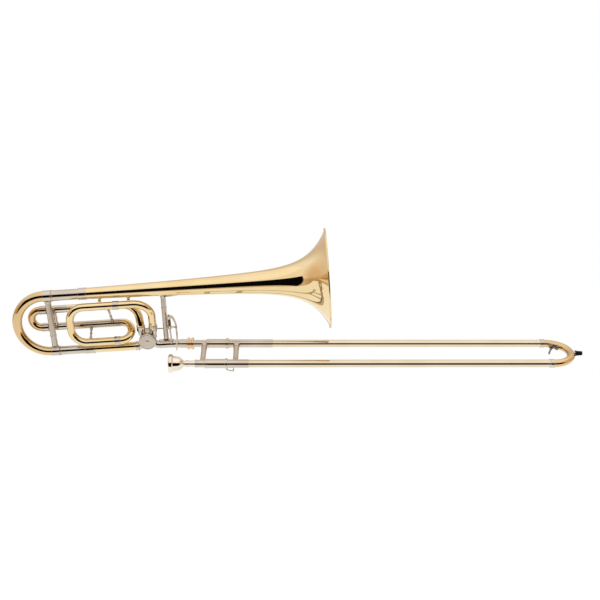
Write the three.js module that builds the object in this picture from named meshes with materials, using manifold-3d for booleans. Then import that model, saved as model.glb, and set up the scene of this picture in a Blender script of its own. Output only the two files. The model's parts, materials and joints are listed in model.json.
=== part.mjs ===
// A tenor trombone with an F attachment: bell section, two tuning slides, a rotary valve with its
// thumb lever, and a hand slide with its mouthpiece. Millimetres, +Z up.
// The origin is on the neck-side axis of the hand slide, at the middle of the lock nut. +X runs along
// the slide to its crook. +Y points away from someone who sees the bell above the slide.
//
// Two nested groups carry the pieces:
//   bellSection: x along the bell and the wrap's tubes, z from the neck to the bell, and y to the back.
//   handSlide:   x along the slide, z from the mouthpiece side to the neck side.
import * as THREE from "three";
import { mergeVertices } from "three/addons/utils/BufferGeometryUtils.js";
import Module from "manifold-3d";

const wasm = await Module();
wasm.setup();

// ---- Driving dimensions ----

const degree = Math.PI / 180;
const fitGap = 0.3;          // between pieces that touch or slide in each other
const tubeWall = 0.5;
const tubeSides = 12;
const bellSides = 28;
const postSides = 12;
const bendSteps = 3;         // flats in a quarter turn of tube

// How the two halves stand to each other
const bellTilt = 26 * degree;      // the bell's plane leans to the viewer
const slideTilt = 63.6 * degree;   // the hand slide's plane, from straight down to the viewer
const neckBend = 4.04 * degree;
const neckBendAt = -38.9;          // along the slide's axis

// Bell: distances run along the bell from the neck's bend
const bellSpacing = 122.4;         // bell axis to neck axis, and the main tuning slide's width
const rimAt = 325.9;
const rimRadius = 100.4;
const rimBead = 1.7;
const flareShare = 0.69;
const flareLength = 34.5;
const taperLength = 832;
const taperPower = 2.209;
const bellTailAt = -165.2;
const bellFerruleFrom = -173.1;
const bellFerruleTo = -157;

// Main tuning slide and its outer legs
const upperLegRadius = 10.7;
const lowerLegRadius = 8.9;
const gooseneckRadius = 8.7;
const crookUpperRadius = 10.2;
const crookLowerRadius = 8.6;
const tuningJointAt = -227.1;      // where the slide's ferrules meet the outer legs
const tuningFerruleLength = 16.6;
const tuningSocket = 3;            // how far a crook stands in its ferrule
const tuningGrip = 58;             // inner leg inside the outer leg
const legRingWidth = 2.6;
const ringHeight = 0.9;
const tuningBraceAt = -236.5;
const tuningBraceRadius = 6;
const lowerFerruleFrom = -175.2;
const lowerFerruleTo = -155.8;
const ferruleWall = 0.8;

// Rotary valve: its axis crosses the bell's plane
const valveAt = -46;
const valveLift = 16;              // rotor axis above the neck's axis
const portSpread = 12.15;          // F ports, each side of the rotor axis
const rotorRadius = 12.7;
const rotorHalfDepth = 11;
const rotorPassage = 4.8;
const spindleRadius = 2.6;
const casingRadius = 15.5;
const casingHalfDepth = 15.5;
const knuckleRadius = 7.6;
const knuckleWall = 0.65;
const knuckleBend = 12;
const capWall = 1.4;
const capFace = 19.5;              // cap's face in front of the bell's plane
const capSkirt = 5.5;
const capPlate = 2;
const capHubRadius = 3.4;
const capHubHeight = 0.8;
const backPlateThickness = 2.2;
const corkPlateRadius = 11;
const corkPlateThickness = 1.4;
const corkRadius = 2;
const corkHeight = 4;
const inletFerruleLength = 7.5;
const portFerruleLength = 9.5;

// F attachment: tubes in a front plane and a back plane
const wrapRadius = 7.85;
const frontPlane = -16;
const backPlane = 19;
const frontUpper = 99.7;           // heights above the neck's axis
const frontLower = 22;
const backUpper = 84;
const backLower = 45.6;
const frontCrookAt = -195.2;
const frontCrookBend = 30;
const returnCrookAt = -78;
const portTop = 39.3;              // top of the valve's F knuckles
const portRise = 7;                // straight stretch above it
const portBend = 33;
const outletLean = 3.3;
const inletLean = -5.8;
const upperRunJointAt = -100;
const lowerRunJointAt = -105.4;
const runFerruleLength = 12;
const fJointAt = -246.5;           // where the F slide's ferrules meet its outer legs
const fFerruleLength = 13.5;
const fSocket = 3;
const fGrip = 80;
const fUpperLegTo = -204.3;
const fLowerLegTo = -98.2;
const fLegBraceAt = -232;
const fBraceRadius = 4.2;
const smallBraceRadius = 1.9;
const smallBraceFoot = 3.4;
const bellBraces = [-131.6, -74];
const upperWrapBraceAt = -116.5;
const lowerWrapBraceAt = -160.2;

// Neck, hand grip and thumb lever
const neckRadius = 8.4;
const neckFrom = -24.7;
const neckEnd = -16.3;             // along the slide's axis
const receiverFrom = -20;
const receiverTo = 1.7;
const receiverRadius = 9;
const gripBraceTop = -5.7;
const gripBraceFoot = -9.9;
const gripBraceRadius = 5;
const gripFootFrom = -25;
const gripFootTo = 5;
const gripFootHalfWidth = 3.8;
const gripPadFrom = -9;
const gripPadTo = 26;
const gripPadHalfWidth = 5;
const gripPadThickness = 1.3;
const leverAt = 1;                 // hinge post: along the neck, and in front of the bell's plane
const leverFront = -6;
const leverPostRadius = 1.7;
const leverPostTop = 68;
const leverKnuckleRadius = 3.3;
const leverLowKnuckle = [36, 43];
const leverTopKnuckle = [58.5, 65];
const leverSpringRadius = 2.9;
const paddleThickness = 1.6;
const paddleLine = [[1.5, 63.6], [7, 61.5], [11, 53], [13.4, 42], [13.8, 30], [12.6, 12], [10, -7]];
const paddleUpperEdges = [-13, -2.6];
const paddleLowerEdges = [-21, -9.8];
const paddleSplit = 0.45;          // share of the line where the wide thumb part starts
const leverArm = 30;               // hinge to link
const stopArmRadius = 10;          // rotor axis to link
const linkHeight = 24.6;
const linkRadius = 1.2;
const linkBallRadius = 2.2;
const linkClearance = 0.8;         // between the link's ball and the stop arm, at their open pivot
const stopArmThickness = 2.4;
const stopArmHubRadius = 5;
const stopLugReach = 9;
const stopBarHalfWidth = 2;
const corkReach = 7.5;

// Hand slide: distances run along the slide from the lock nut
const slideSpacing = 88.5;
const slideBore = 6.8;
const innerTubeRadius = 7.1;
const outerTubeWall = 0.25;
const tenonRadius = 7.4;
const tenonFrom = -15.7;
const barrelFrom = 33;
const barrelTo = 78;
const barrelRadius = 9.15;
const barrelBeadFrom = 73.3;
const barrelBeadRadius = 10.75;
const barrelWeb = 37;              // left end of the inner tubes' sockets
const barrelSocketTo = 40;
const barrelWall = 0.95;
const innerTubeTo = 705;
const outerTubeFrom = 41;
const crookJointAt = 722;
const crookBendAt = 725;
const crookFerruleFrom = 717;
const crookFerruleTo = 726;
const sleeveFrom = 80;
const upperSleeveTo = 167.5;
const lowerSleeveTo = 119.6;
const sleeveWall = 0.4;
const innerBraceAt = 28.4;
const outerBraceAt = 93.3;
const gripTubeRadius = 4.8;
const gripFlareRadius = 6.6;
const gripFlareLength = 7;
const receiverSleeveFrom = 14.2;
const receiverSleeveRadius = 7.6;
const receiverSleeveBore = 6.6;
const nutHalfLength = 6.4;
const nutRadius = 12.5;
const nutGrooveRadius = 10.8;
const nutFlange = 4;
const nutLip = 4.5;
const lockRingRadius = 10.75;
const lockHookLength = 13;
const lockHookBar = 1.6;
const lockHookRise = 3.4;
const lockClearance = 0.7;
const lockStudTurn = 60 * degree;  // how far round from the hook the sleeve's stud stands
const lockStudAt = 86;
const lockStudRadius = 1.5;
const lockStudHeight = 3;
const holderHeight = 1.6;          // above the crook
const bumperLength = 14.8;
const bumperRadius = 4.9;
const bumperTipRadius = 4.2;
const bumperFlangeRadius = 5.8;
const bumperFlat = 2.4;
const holderRadius = 4.4;

// Water key, inside the crook's neck-side bend
const keyAngle = 24 * degree;      // round the crook, from straight above its centre
const keyPivotHeight = 8.5;        // inside the crook's surface
const keySaddleLength = 13;
const keySaddleWidth = 8;
const keyPlate = 1.4;
const keyEar = 1.5;
const keyPinRadius = 1.3;
const keyHubRadius = 2.6;
const keyPadRadius = 4;
const keyPadOffset = 11;
const keyNippleRadius = 2.8;
const keyNippleHeight = 3;
const keyTouch = [-15, -26];       // from the pivot to the touchpiece's end: along and across the slide
const keyBar = 2.6;

// Mouthpiece
const mouthpieceFrom = -37.8;
const mouthpieceTo = 40.5;
const mouthpieceRim = 18.7;
const mouthpieceCup = 12.7;
const shankRadius = 6.2;
const shankTipRadius = 5.7;

// ---- Finishes ----

function finish(color, roughness, metalness = 1) {
  return { color, roughness, metalness };
}

const brass = finish(0xd9b25c, 0.18);
const amberBrass = finish(0xd2a45c, 0.2);
const nickel = finish(0xb9aca0, 0.22);
const bronze = finish(0xc08a5a, 0.25);
const silver = finish(0xe6dfcf, 0.15);
const steel = finish(0x8f8f90, 0.3);
const blackRubber = finish(0x111111, 0.6, 0);

// ---- Shape helpers ----

const along = new THREE.Vector3(1, 0, 0);

// The bore of a piece that clears a tube whose flats may lie at another angle.
function around(radius, sides = tubeSides) {
  return (radius + fitGap) / Math.cos(Math.PI / sides);
}

// A solid of revolution about x. The outline's outer side is walked towards +x, and it either
// closes on itself or starts and ends on the axis.
function turned(outline, sides = tubeSides) {
  const onAxis = outline[0][1] === 0;
  const walk = onAxis ? outline : [...outline, outline[0]];
  const points = walk.map(([at, radius]) => new THREE.Vector2(radius, at));
  return new THREE.LatheGeometry(points, sides).rotateZ(-Math.PI / 2);
}

function tube(from, to, outer, inner, sides = tubeSides) {
  return turned([[from, inner], [from, outer], [to, outer], [to, inner]], sides);
}

function rod(from, to, radius, sides = tubeSides) {
  return turned([[from, 0], [from, radius], [to, radius], [to, 0]], sides);
}

// A tube with a raised ring at its lower end.
function ringedTube(from, to, outer, inner) {
  const ring = outer + ringHeight;
  const step = from + legRingWidth;
  return turned([[from, inner], [from, ring], [step, ring], [step, outer], [to, outer], [to, inner]]);
}

// A centre line of straight stretches and round bends. It has a station only where it turns.
// Each corner is [x, y, z] or [x, y, z, bend radius].
class TubeRoute extends THREE.Curve {
  constructor(corners) {
    super();
    this.stations = [];
    const points = corners.map(([x, y, z]) => new THREE.Vector3(x, y, z));
    corners.forEach((corner, index) => {
      if (corner.length === 4) {
        this.addBend(points[index - 1], points[index], points[index + 1], corner[3]);
      } else {
        const first = Math.min(index, points.length - 2);
        this.addStation(points[index], points[first + 1].clone().sub(points[first]).normalize());
      }
    });
  }

  addStation(point, tangent) {
    const last = this.stations.at(-1);
    if (!last || last.point.distanceTo(point) > fitGap) {
      this.stations.push({ point, tangent });
    }
  }

  addBend(before, corner, after, radius) {
    const arriving = corner.clone().sub(before).normalize();
    const leaving = after.clone().sub(corner).normalize();
    const turn = arriving.angleTo(leaving);
    const inward = leaving.clone().sub(arriving).normalize();
    const centre = corner.clone().addScaledVector(inward, radius / Math.cos(turn / 2));
    const axis = arriving.clone().cross(leaving).normalize();
    const start = corner.clone().addScaledVector(arriving, -radius * Math.tan(turn / 2)).sub(centre);
    const steps = Math.max(2, Math.round(bendSteps * turn / (90 * degree)));
    for (let step = 0; step <= steps; step += 1) {
      const angle = turn * step / steps;
      const point = start.clone().applyAxisAngle(axis, angle).add(centre);
      this.addStation(point, arriving.clone().applyAxisAngle(axis, angle));
    }
  }

  get steps() {
    return this.stations.length - 1;
  }

  getPointAt(share, target = new THREE.Vector3()) {
    return target.copy(this.stations[Math.round(share * this.steps)].point);
  }

  getTangentAt(share, target = new THREE.Vector3()) {
    return target.copy(this.stations[Math.round(share * this.steps)].tangent);
  }
}

// A bent tube, or a bent rod when no inner radius is given.
function bent(corners, outer, inner = 0, sides = tubeSides) {
  const extrudePath = new TubeRoute(corners);
  const section = new THREE.Shape().absarc(0, 0, outer, 0, 2 * Math.PI);
  if (inner > 0) {
    section.holes.push(new THREE.Path().absarc(0, 0, inner, 0, 2 * Math.PI, true));
  }
  return new THREE.ExtrudeGeometry(section, { steps: extrudePath.steps, extrudePath, curveSegments: sides / 2 });
}

// Narrows a bent tube evenly along its route, down to endShare of its size.
function tapered(geometry, corners, endShare) {
  const { stations, steps } = new TubeRoute(corners);
  const position = geometry.getAttribute("position");
  const vertex = new THREE.Vector3();
  for (let index = 0; index < position.count; index += 1) {
    vertex.fromBufferAttribute(position, index);
    const distances = stations.map(({ point }) => point.distanceTo(vertex));
    const nearest = distances.indexOf(Math.min(...distances));
    const share = THREE.MathUtils.lerp(1, endShare, nearest / steps);
    vertex.sub(stations[nearest].point).multiplyScalar(share).add(stations[nearest].point);
    position.setXYZ(index, vertex.x, vertex.y, vertex.z);
  }
  return geometry;
}

function box(low, high) {
  const size = high.map((value, axis) => value - low[axis]);
  const middle = high.map((value, axis) => (value + low[axis]) / 2);
  return new THREE.BoxGeometry(...size).translate(...middle);
}

// A flat outline in x and z, given thickness from y = from to y = to.
function plate(points, from, to) {
  const shape = new THREE.Shape(points.map(([x, z]) => new THREE.Vector2(x, z)));
  const geometry = new THREE.ExtrudeGeometry(shape, { depth: to - from, bevelEnabled: false });
  return geometry.rotateX(Math.PI / 2).translate(0, to, 0);
}

// Turns a shape that lies along x to point along y.
function towardsY(geometry) {
  return geometry.rotateZ(Math.PI / 2);
}

function solid(geometry) {
  const bare = geometry.clone();
  bare.deleteAttribute("normal");
  bare.deleteAttribute("uv");
  const merged = mergeVertices(bare);
  const vertProperties = new Float32Array(merged.getAttribute("position").array);
  const triVerts = new Uint32Array(merged.getIndex().array);
  return new wasm.Manifold(new wasm.Mesh({ numProp: 3, vertProperties, triVerts }));
}

function geometryOf(manifold) {
  const { vertProperties, triVerts } = manifold.getMesh();
  const geometry = new THREE.BufferGeometry();
  geometry.setAttribute("position", new THREE.BufferAttribute(vertProperties, 3));
  geometry.setIndex(new THREE.BufferAttribute(triVerts, 1));
  geometry.computeVertexNormals();
  return geometry;
}

function joined(...geometries) {
  return geometryOf(geometries.map(solid).reduce((whole, next) => whole.add(next)));
}

function cut(geometry, ...cutters) {
  return geometryOf(cutters.map(solid).reduce((whole, next) => whole.subtract(next), solid(geometry)));
}

// A turned post from one point to another. outline(length) gives its outline.
function post(start, end, outline, sides = postSides) {
  const from = new THREE.Vector3(...start);
  const span = new THREE.Vector3(...end).sub(from);
  const turn = new THREE.Quaternion().setFromUnitVectors(along, span.clone().normalize());
  return turned(outline(span.length()), sides).applyQuaternion(turn).translate(...start);
}

// What a post must clear round a tube: [x, y, z] is a point on the tube's axis.
function clearance([x, y, z], radius, halfLength) {
  return rod(x - halfLength, x + halfLength, around(radius)).translate(0, y, z);
}

// A straight rod that flares to a foot at both ends, where it meets its tubes.
function flaredOutline(radius, flare, startDepth, endDepth, flareRun) {
  return (length) => [
    [0, 0], [0, flare], [startDepth, flare], [startDepth + flareRun, radius],
    [length - endDepth - flareRun, radius], [length - endDepth, flare], [length, flare], [length, 0],
  ];
}

function add(group, name, geometry, { color, roughness, metalness }, position = [0, 0, 0]) {
  const material = new THREE.MeshStandardMaterial({ color, roughness, metalness });
  const mesh = new THREE.Mesh(geometry, material);
  mesh.name = name;
  mesh.position.set(...position);
  group.add(mesh);
}

// ---- Bell section ----

const trombone = new THREE.Group();

const bellSection = new THREE.Group();
bellSection.position.set(neckBendAt, 0, 0);
bellSection.rotation.set(bellTilt, -neckBend, 0);
trombone.add(bellSection);

function bellRadius(distance) {
  const flare = flareShare * Math.exp(-distance / flareLength);
  const taper = (1 - flareShare) * (taperLength / (distance + taperLength)) ** taperPower;
  return rimRadius * (flare + taper);
}

// Points of the bell's wall, from the tail to the rim, moved outwards by offset.
function bellWall(offset) {
  const count = 12;
  const longest = rimAt - bellTailAt;
  return Array.from({ length: count }, (_, index) => {
    const distance = rimBead + (longest - rimBead) * (1 - index / (count - 1)) ** 2;
    const slope = Math.atan(bellRadius(distance) - bellRadius(distance + 1));
    return [
      rimAt - distance - offset * Math.sin(slope),
      bellRadius(distance) + offset * Math.cos(slope),
    ];
  });
}

function bell() {
  const bead = [
    [rimAt - 2 * rimBead, rimRadius - rimBead],
    [rimAt - 1.6 * rimBead, rimRadius - 0.3 * rimBead],
    [rimAt - 0.9 * rimBead, rimRadius],
    [rimAt - 0.2 * rimBead, rimRadius - 0.3 * rimBead],
    [rimAt, rimRadius - rimBead],
  ];
  return turned([...bellWall(0), ...bead, ...bellWall(-tubeWall).reverse()], bellSides);
}

// The bell as a plain solid with the fit gap round it, for cutting what is soldered to it.
function bellClearance() {
  const wall = bellWall(0).map(([at, radius]) => [at, around(radius, bellSides)]);
  return turned([[wall[0][0], 0], ...wall, [wall.at(-1)[0], 0]], bellSides).translate(0, 0, bellSpacing);
}

const bellAxis = [0, 0, bellSpacing];
const bellTailRadius = bellRadius(rimAt - bellFerruleTo);
const bellFerruleBore = around(Math.max(bellTailRadius, upperLegRadius));
add(bellSection, "bell", bell(), brass, bellAxis);
add(bellSection, "bell_ferrule",
  tube(bellFerruleFrom, bellFerruleTo, bellFerruleBore + ferruleWall, bellFerruleBore), nickel, bellAxis);
add(bellSection, "upper_outer_leg",
  ringedTube(tuningJointAt + fitGap, bellTailAt - fitGap, upperLegRadius, upperLegRadius - tubeWall),
  nickel, bellAxis);

// Lower leg, from the main tuning slide to the valve
const lowerFerruleBore = around(Math.max(lowerLegRadius, gooseneckRadius));
const lowerLegTo = (lowerFerruleFrom + lowerFerruleTo) / 2;
const knuckleEnd = valveAt - valveLift - knuckleBend * Math.tan(22.5 * degree) - 2;
add(bellSection, "lower_outer_leg",
  ringedTube(tuningJointAt + fitGap, lowerLegTo, lowerLegRadius, lowerLegRadius - tubeWall), nickel);
add(bellSection, "lower_leg_ferrule",
  tube(lowerFerruleFrom, lowerFerruleTo, lowerFerruleBore + ferruleWall, lowerFerruleBore), nickel);
add(bellSection, "gooseneck_tube",
  tube(lowerLegTo + fitGap, knuckleEnd - fitGap, gooseneckRadius, gooseneckRadius - tubeWall), brass);
const inletFerruleBore = around(Math.max(gooseneckRadius, knuckleRadius));
const inletFerruleFrom = knuckleEnd - inletFerruleLength / 2;
add(bellSection, "valve_inlet_ferrule",
  tube(inletFerruleFrom, inletFerruleFrom + inletFerruleLength, inletFerruleBore + ferruleWall, inletFerruleBore),
  nickel);

// ---- Rotary valve ----

const casingBore = rotorRadius + fitGap;
const capRadius = casingRadius + fitGap + capWall;
const valveSides = 20;
const portLeftAt = valveAt - portSpread;
const portRightAt = valveAt + portSpread;

// Centre lines of the casing's four knuckles, from the rotor outwards. Past the last point, a bore
// runs on by the overrun so that it cuts the end open.
function knuckleRoutes(overrun) {
  const start = rotorRadius * Math.SQRT1_2;
  const mainEnd = valveAt - knuckleEnd + overrun;
  return [
    ...[-1, 1].map((side) => [
      [valveAt + side * start, 0, valveLift - start],
      [valveAt + side * valveLift, 0, 0, knuckleBend],
      [valveAt + side * mainEnd, 0, 0],
    ]),
    ...[-1, 1].map((side) => [
      [valveAt + side * start, 0, valveLift + start],
      [valveAt + side * portSpread, 0, valveLift + portSpread, knuckleBend],
      [valveAt + side * portSpread, 0, portTop + overrun],
    ]),
  ];
}

function onRotorAxis(geometry) {
  return towardsY(geometry).translate(valveAt, 0, valveLift);
}

function valveCasing() {
  const body = onRotorAxis(rod(-casingHalfDepth, casingHalfDepth, casingRadius, valveSides));
  const knuckles = knuckleRoutes(0).map((route) => bent(route, knuckleRadius));
  const bore = onRotorAxis(rod(-2 * casingHalfDepth, 2 * casingHalfDepth, casingBore, valveSides));
  const bores = knuckleRoutes(1).map((route) => bent(route, knuckleRadius - knuckleWall));
  return cut(joined(body, ...knuckles), bore, ...bores);
}

function valveCap() {
  const skirt = capFace - capSkirt;
  const inside = casingRadius + fitGap;
  return onRotorAxis(turned([
    [-capFace - capHubHeight, 0], [-capFace - capHubHeight, capHubRadius], [-capFace, capHubRadius],
    [-capFace, capRadius - 0.6], [-capFace + 0.6, capRadius], [-skirt, capRadius],
    [-skirt, inside], [-capFace + capPlate, inside], [-capFace + capPlate, 0],
  ], valveSides));
}

// The rotor's two passages each join neighbouring ports, so a quarter turn changes the air's way.
function rotor() {
  const reach = 2 * rotorRadius;
  const corner = rotorRadius * Math.SQRT1_2;
  const passage = (side) => bent([
    [valveAt - reach, 0, valveLift + side * reach],
    [valveAt, 0, valveLift, rotorRadius],
    [valveAt + reach, 0, valveLift + side * reach],
  ], rotorPassage).translate(0, 0, side * (rotorPassage - corner / 4));
  const drum = onRotorAxis(rod(-rotorHalfDepth, rotorHalfDepth, rotorRadius, valveSides));
  const spindle = onRotorAxis(rod(rotorHalfDepth - 1, stopArmTo + fitGap, spindleRadius, valveSides));
  return cut(joined(drum, spindle), passage(-1), passage(1));
}

const linkHalfTurn = Math.asin(stopArmRadius * Math.SQRT1_2 / leverArm);
const linkPlane = leverFront + leverArm * Math.cos(linkHalfTurn);
const linkThrow = stopArmRadius * Math.SQRT1_2;
const stopArmTo = linkPlane - linkBallRadius - linkClearance;
const stopArmFrom = stopArmTo - stopArmThickness;
const corkPlateFrom = casingHalfDepth + fitGap;
const spindleHole = spindleRadius + fitGap;

function stopArm() {
  const leftUp = 135 * degree;
  const bar = box([-stopLugReach, stopArmFrom, -stopBarHalfWidth], [stopArmRadius, stopArmTo, stopBarHalfWidth]);
  bar.rotateY(-leftUp).translate(valveAt, 0, valveLift);
  const hub = onRotorAxis(rod(stopArmFrom, stopArmTo, stopArmHubRadius, valveSides));
  const tip = onRotorAxis(rod(stopArmFrom, stopArmTo, stopBarHalfWidth + 1, postSides));
  tip.translate(stopArmRadius * Math.cos(leftUp), 0, stopArmRadius * Math.sin(leftUp));
  const hole = onRotorAxis(rod(0, 2 * stopArmTo, spindleHole, valveSides));
  return cut(joined(bar, hub, tip), hole);
}

// The plate carries two corks that stop the arm's lug a quarter turn apart.
function corkPlate() {
  const plateTo = corkPlateFrom + corkPlateThickness;
  const turn = 2 * Math.asin((stopBarHalfWidth + corkRadius + fitGap) / (2 * corkReach));
  const corks = [225 * degree - turn, 315 * degree + turn].map((angle) => (
    onRotorAxis(rod(corkPlateFrom + 0.5, plateTo + corkHeight, corkRadius, postSides))
      .translate(corkReach * Math.cos(angle), 0, corkReach * Math.sin(angle))
  ));
  return joined(onRotorAxis(tube(corkPlateFrom, plateTo, corkPlateRadius, spindleHole, valveSides)), ...corks);
}

add(bellSection, "valve_casing", valveCasing(), nickel);
add(bellSection, "valve_cap", valveCap(), nickel);
add(bellSection, "valve_back_plate",
  onRotorAxis(tube(casingHalfDepth - backPlateThickness - fitGap, casingHalfDepth - fitGap, rotorRadius,
    spindleHole, valveSides)), brass);
add(bellSection, "cork_plate", corkPlate(), nickel);
add(bellSection, "rotor", rotor(), brass);
add(bellSection, "stop_arm", stopArm(), nickel);

// ---- F attachment ----

const portFerruleBore = around(Math.max(wrapRadius, knuckleRadius));

function portFerrule() {
  const from = portTop - portFerruleLength / 2;
  const ring = tube(from, from + portFerruleLength, portFerruleBore + ferruleWall, portFerruleBore);
  return ring.rotateY(-Math.PI / 2);
}

function wrapTube(corners) {
  return bent(corners, wrapRadius, wrapRadius - tubeWall);
}

add(bellSection, "right_port_ferrule", portFerrule(), nickel, [portRightAt, 0, 0]);
add(bellSection, "left_port_ferrule", portFerrule(), nickel, [portLeftAt, 0, 0]);
add(bellSection, "f_outlet_bend", wrapTube([
  [portRightAt, 0, portTop + fitGap],
  [portRightAt, 0, portTop + portRise, portRise * 2],
  [portRightAt + outletLean, frontPlane, frontUpper, portBend],
  [upperRunJointAt + fitGap / 2, frontPlane, frontUpper],
]), brass);
add(bellSection, "f_front_crook", wrapTube([
  [upperRunJointAt - fitGap / 2, frontPlane, frontUpper],
  [frontCrookAt, frontPlane, frontUpper, frontCrookBend],
  [frontCrookAt, frontPlane, frontLower, frontCrookBend],
  [lowerRunJointAt - fitGap / 2, frontPlane, frontLower],
]), brass);
const returnBend = Math.hypot(backPlane - frontPlane, backLower - frontLower) / 2;
add(bellSection, "f_return_crook", wrapTube([
  [lowerRunJointAt + fitGap / 2, frontPlane, frontLower],
  [returnCrookAt, frontPlane, frontLower, returnBend],
  [returnCrookAt, backPlane, backLower, returnBend],
  [fLowerLegTo + fitGap / 2 - 2, backPlane, backLower],
]), brass);
add(bellSection, "f_inlet_bend", wrapTube([
  [portLeftAt, 0, portTop + fitGap],
  [portLeftAt, 0, portTop + portRise, portRise * 2],
  [portLeftAt + inletLean, backPlane, backUpper, portBend],
  [fUpperLegTo + fitGap, backPlane, backUpper],
]), brass);

const runFerrule = (joint) => tube(joint - runFerruleLength / 2, joint + runFerruleLength / 2,
  portFerruleBore + ferruleWall, portFerruleBore);
add(bellSection, "upper_run_ferrule", runFerrule(upperRunJointAt), nickel, [0, frontPlane, frontUpper]);
add(bellSection, "lower_run_ferrule", runFerrule(lowerRunJointAt), nickel, [0, frontPlane, frontLower]);

const fBore = wrapRadius - tubeWall;
add(bellSection, "f_outer_leg_upper",
  ringedTube(fJointAt + fitGap, fUpperLegTo, wrapRadius, fBore), nickel, [0, backPlane, backUpper]);
add(bellSection, "f_outer_leg_lower",
  ringedTube(fJointAt + fitGap, fLowerLegTo - 2, wrapRadius, fBore), nickel, [0, backPlane, backLower]);

function braceBetween(name, at, [startY, startZ], [endY, endZ], ...cutters) {
  const shape = post([at, startY, startZ], [at, endY, endZ],
    flaredOutline(smallBraceRadius, smallBraceFoot, wrapRadius + 2, wrapRadius + 2, 2));
  add(bellSection, name, cut(shape, ...cutters), nickel);
}

const frontUpperRun = [frontPlane, frontUpper];
const frontLowerRun = [frontPlane, frontLower];
const backLowerRun = [backPlane, backLower];
const runClearance = (at, [y, z]) => clearance([at, y, z], wrapRadius, 3 * smallBraceFoot);
const braceOutline = flaredOutline(fBraceRadius, fBraceRadius + 1.2, wrapRadius + 2, wrapRadius + 2, 2);
add(bellSection, "f_leg_brace", cut(
  post([fLegBraceAt, backPlane, backUpper], [fLegBraceAt, backPlane, backLower], braceOutline),
  runClearance(fLegBraceAt, [backPlane, backUpper]),
  runClearance(fLegBraceAt, backLowerRun),
), nickel);
braceBetween("wrap_brace_upper", upperWrapBraceAt, frontUpperRun, backLowerRun,
  runClearance(upperWrapBraceAt, frontUpperRun), runClearance(upperWrapBraceAt, backLowerRun));
braceBetween("wrap_brace_lower", lowerWrapBraceAt, backLowerRun, frontLowerRun,
  runClearance(lowerWrapBraceAt, backLowerRun), runClearance(lowerWrapBraceAt, frontLowerRun));
bellBraces.forEach((at, index) => {
  const shape = post([at, 0, bellSpacing], [at, ...frontUpperRun],
    (length) => [[0, 0], [0, smallBraceFoot], [length, smallBraceFoot], [length, 0]]);
  add(bellSection, `bell_wrap_brace_${index + 1}`,
    cut(shape, bellClearance(), runClearance(at, frontUpperRun)), brass);
});

// ---- Tuning slides ----

// One leg of a tuning slide: the ferrule holds the crook's end, and the inner leg runs on from it.
function slideLeg(jointAt, ferruleLength, socket, grip, outerLegBore, crookRadius) {
  const from = jointAt - ferruleLength;
  const crookEnd = from + socket;
  const socketBore = around(crookRadius);
  const ferrule = Math.max(socketBore, outerLegBore) + ferruleWall;
  const leg = outerLegBore - fitGap;
  return turned([
    [from, socketBore], [from, ferrule], [jointAt, ferrule], [jointAt, leg], [jointAt + grip, leg],
    [jointAt + grip, leg - tubeWall], [crookEnd + fitGap, leg - tubeWall], [crookEnd + fitGap, socketBore],
  ]);
}

// A crook's route: its ends stand in their ferrules, and the bend starts where the ferrules begin.
function crookRoute(ferruleStart, socket, y, high, low) {
  const bend = (high - low) / 2;
  const start = ferruleStart + socket;
  const turn = ferruleStart - fitGap - bend;
  return [[start, y, high], [turn, y, high, bend], [turn, y, low, bend], [start, y, low]];
}

const tuningRoute = crookRoute(tuningJointAt - tuningFerruleLength, tuningSocket, 0, bellSpacing, 0);
add(bellSection, "tuning_crook",
  tapered(bent(tuningRoute, crookUpperRadius, crookUpperRadius - tubeWall), tuningRoute,
    crookLowerRadius / crookUpperRadius), amberBrass);
const tuningLeg = (legRadius, crookRadius) => slideLeg(tuningJointAt, tuningFerruleLength, tuningSocket,
  tuningGrip, legRadius - tubeWall, crookRadius);
add(bellSection, "tuning_upper_leg", tuningLeg(upperLegRadius, crookUpperRadius), nickel, bellAxis);
add(bellSection, "tuning_lower_leg", tuningLeg(lowerLegRadius, crookLowerRadius), nickel);

const upperFerruleRadius = Math.max(around(crookUpperRadius), upperLegRadius - tubeWall) + ferruleWall;
const lowerFerruleRadius = Math.max(around(crookLowerRadius), lowerLegRadius - tubeWall) + ferruleWall;
add(bellSection, "tuning_brace", cut(
  post([tuningBraceAt, 0, bellSpacing], [tuningBraceAt, 0, 0], flaredOutline(tuningBraceRadius,
    tuningBraceRadius + 1.5, upperFerruleRadius + 3, lowerFerruleRadius + 3, 3)),
  clearance([tuningBraceAt, 0, bellSpacing], upperFerruleRadius, tuningFerruleLength),
  clearance([tuningBraceAt, 0, 0], lowerFerruleRadius, tuningFerruleLength),
), nickel);

add(bellSection, "f_crook", wrapTube(
  crookRoute(fJointAt - fFerruleLength, fSocket, backPlane, backUpper, backLower)), amberBrass);
const fLeg = () => slideLeg(fJointAt, fFerruleLength, fSocket, fGrip, fBore, wrapRadius);
add(bellSection, "f_slide_upper_leg", fLeg(), nickel, [0, backPlane, backUpper]);
add(bellSection, "f_slide_lower_leg", fLeg(), nickel, [0, backPlane, backLower]);

// ---- Neck, left-hand grip and thumb lever ----

// A point at some distance along the hand slide's axis, in the bell section's frame.
function onSlideAxis(distance) {
  const length = distance - neckBendAt;
  return [length * Math.cos(neckBend), 0, -length * Math.sin(neckBend)];
}

const tenonBore = tenonRadius + fitGap;

// The neckpipe ends in the receiver that takes the hand slide's tenon.
function neckpipe() {
  const bend = [0, 0, 0, 6 * neckRadius];
  const onAxis = (from, to, radius) => rod(from - neckBendAt, to - neckBendAt, radius).rotateY(neckBend);
  const outside = joined(bent([[neckFrom, 0, 0], bend, onSlideAxis(neckEnd)], neckRadius),
    onAxis(receiverFrom, receiverTo, receiverRadius));
  return cut(outside, bent([[neckFrom - 1, 0, 0], bend, onSlideAxis(neckEnd)], around(knuckleRadius)),
    onAxis(neckEnd - 1, receiverTo + 1, tenonBore));
}

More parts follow.
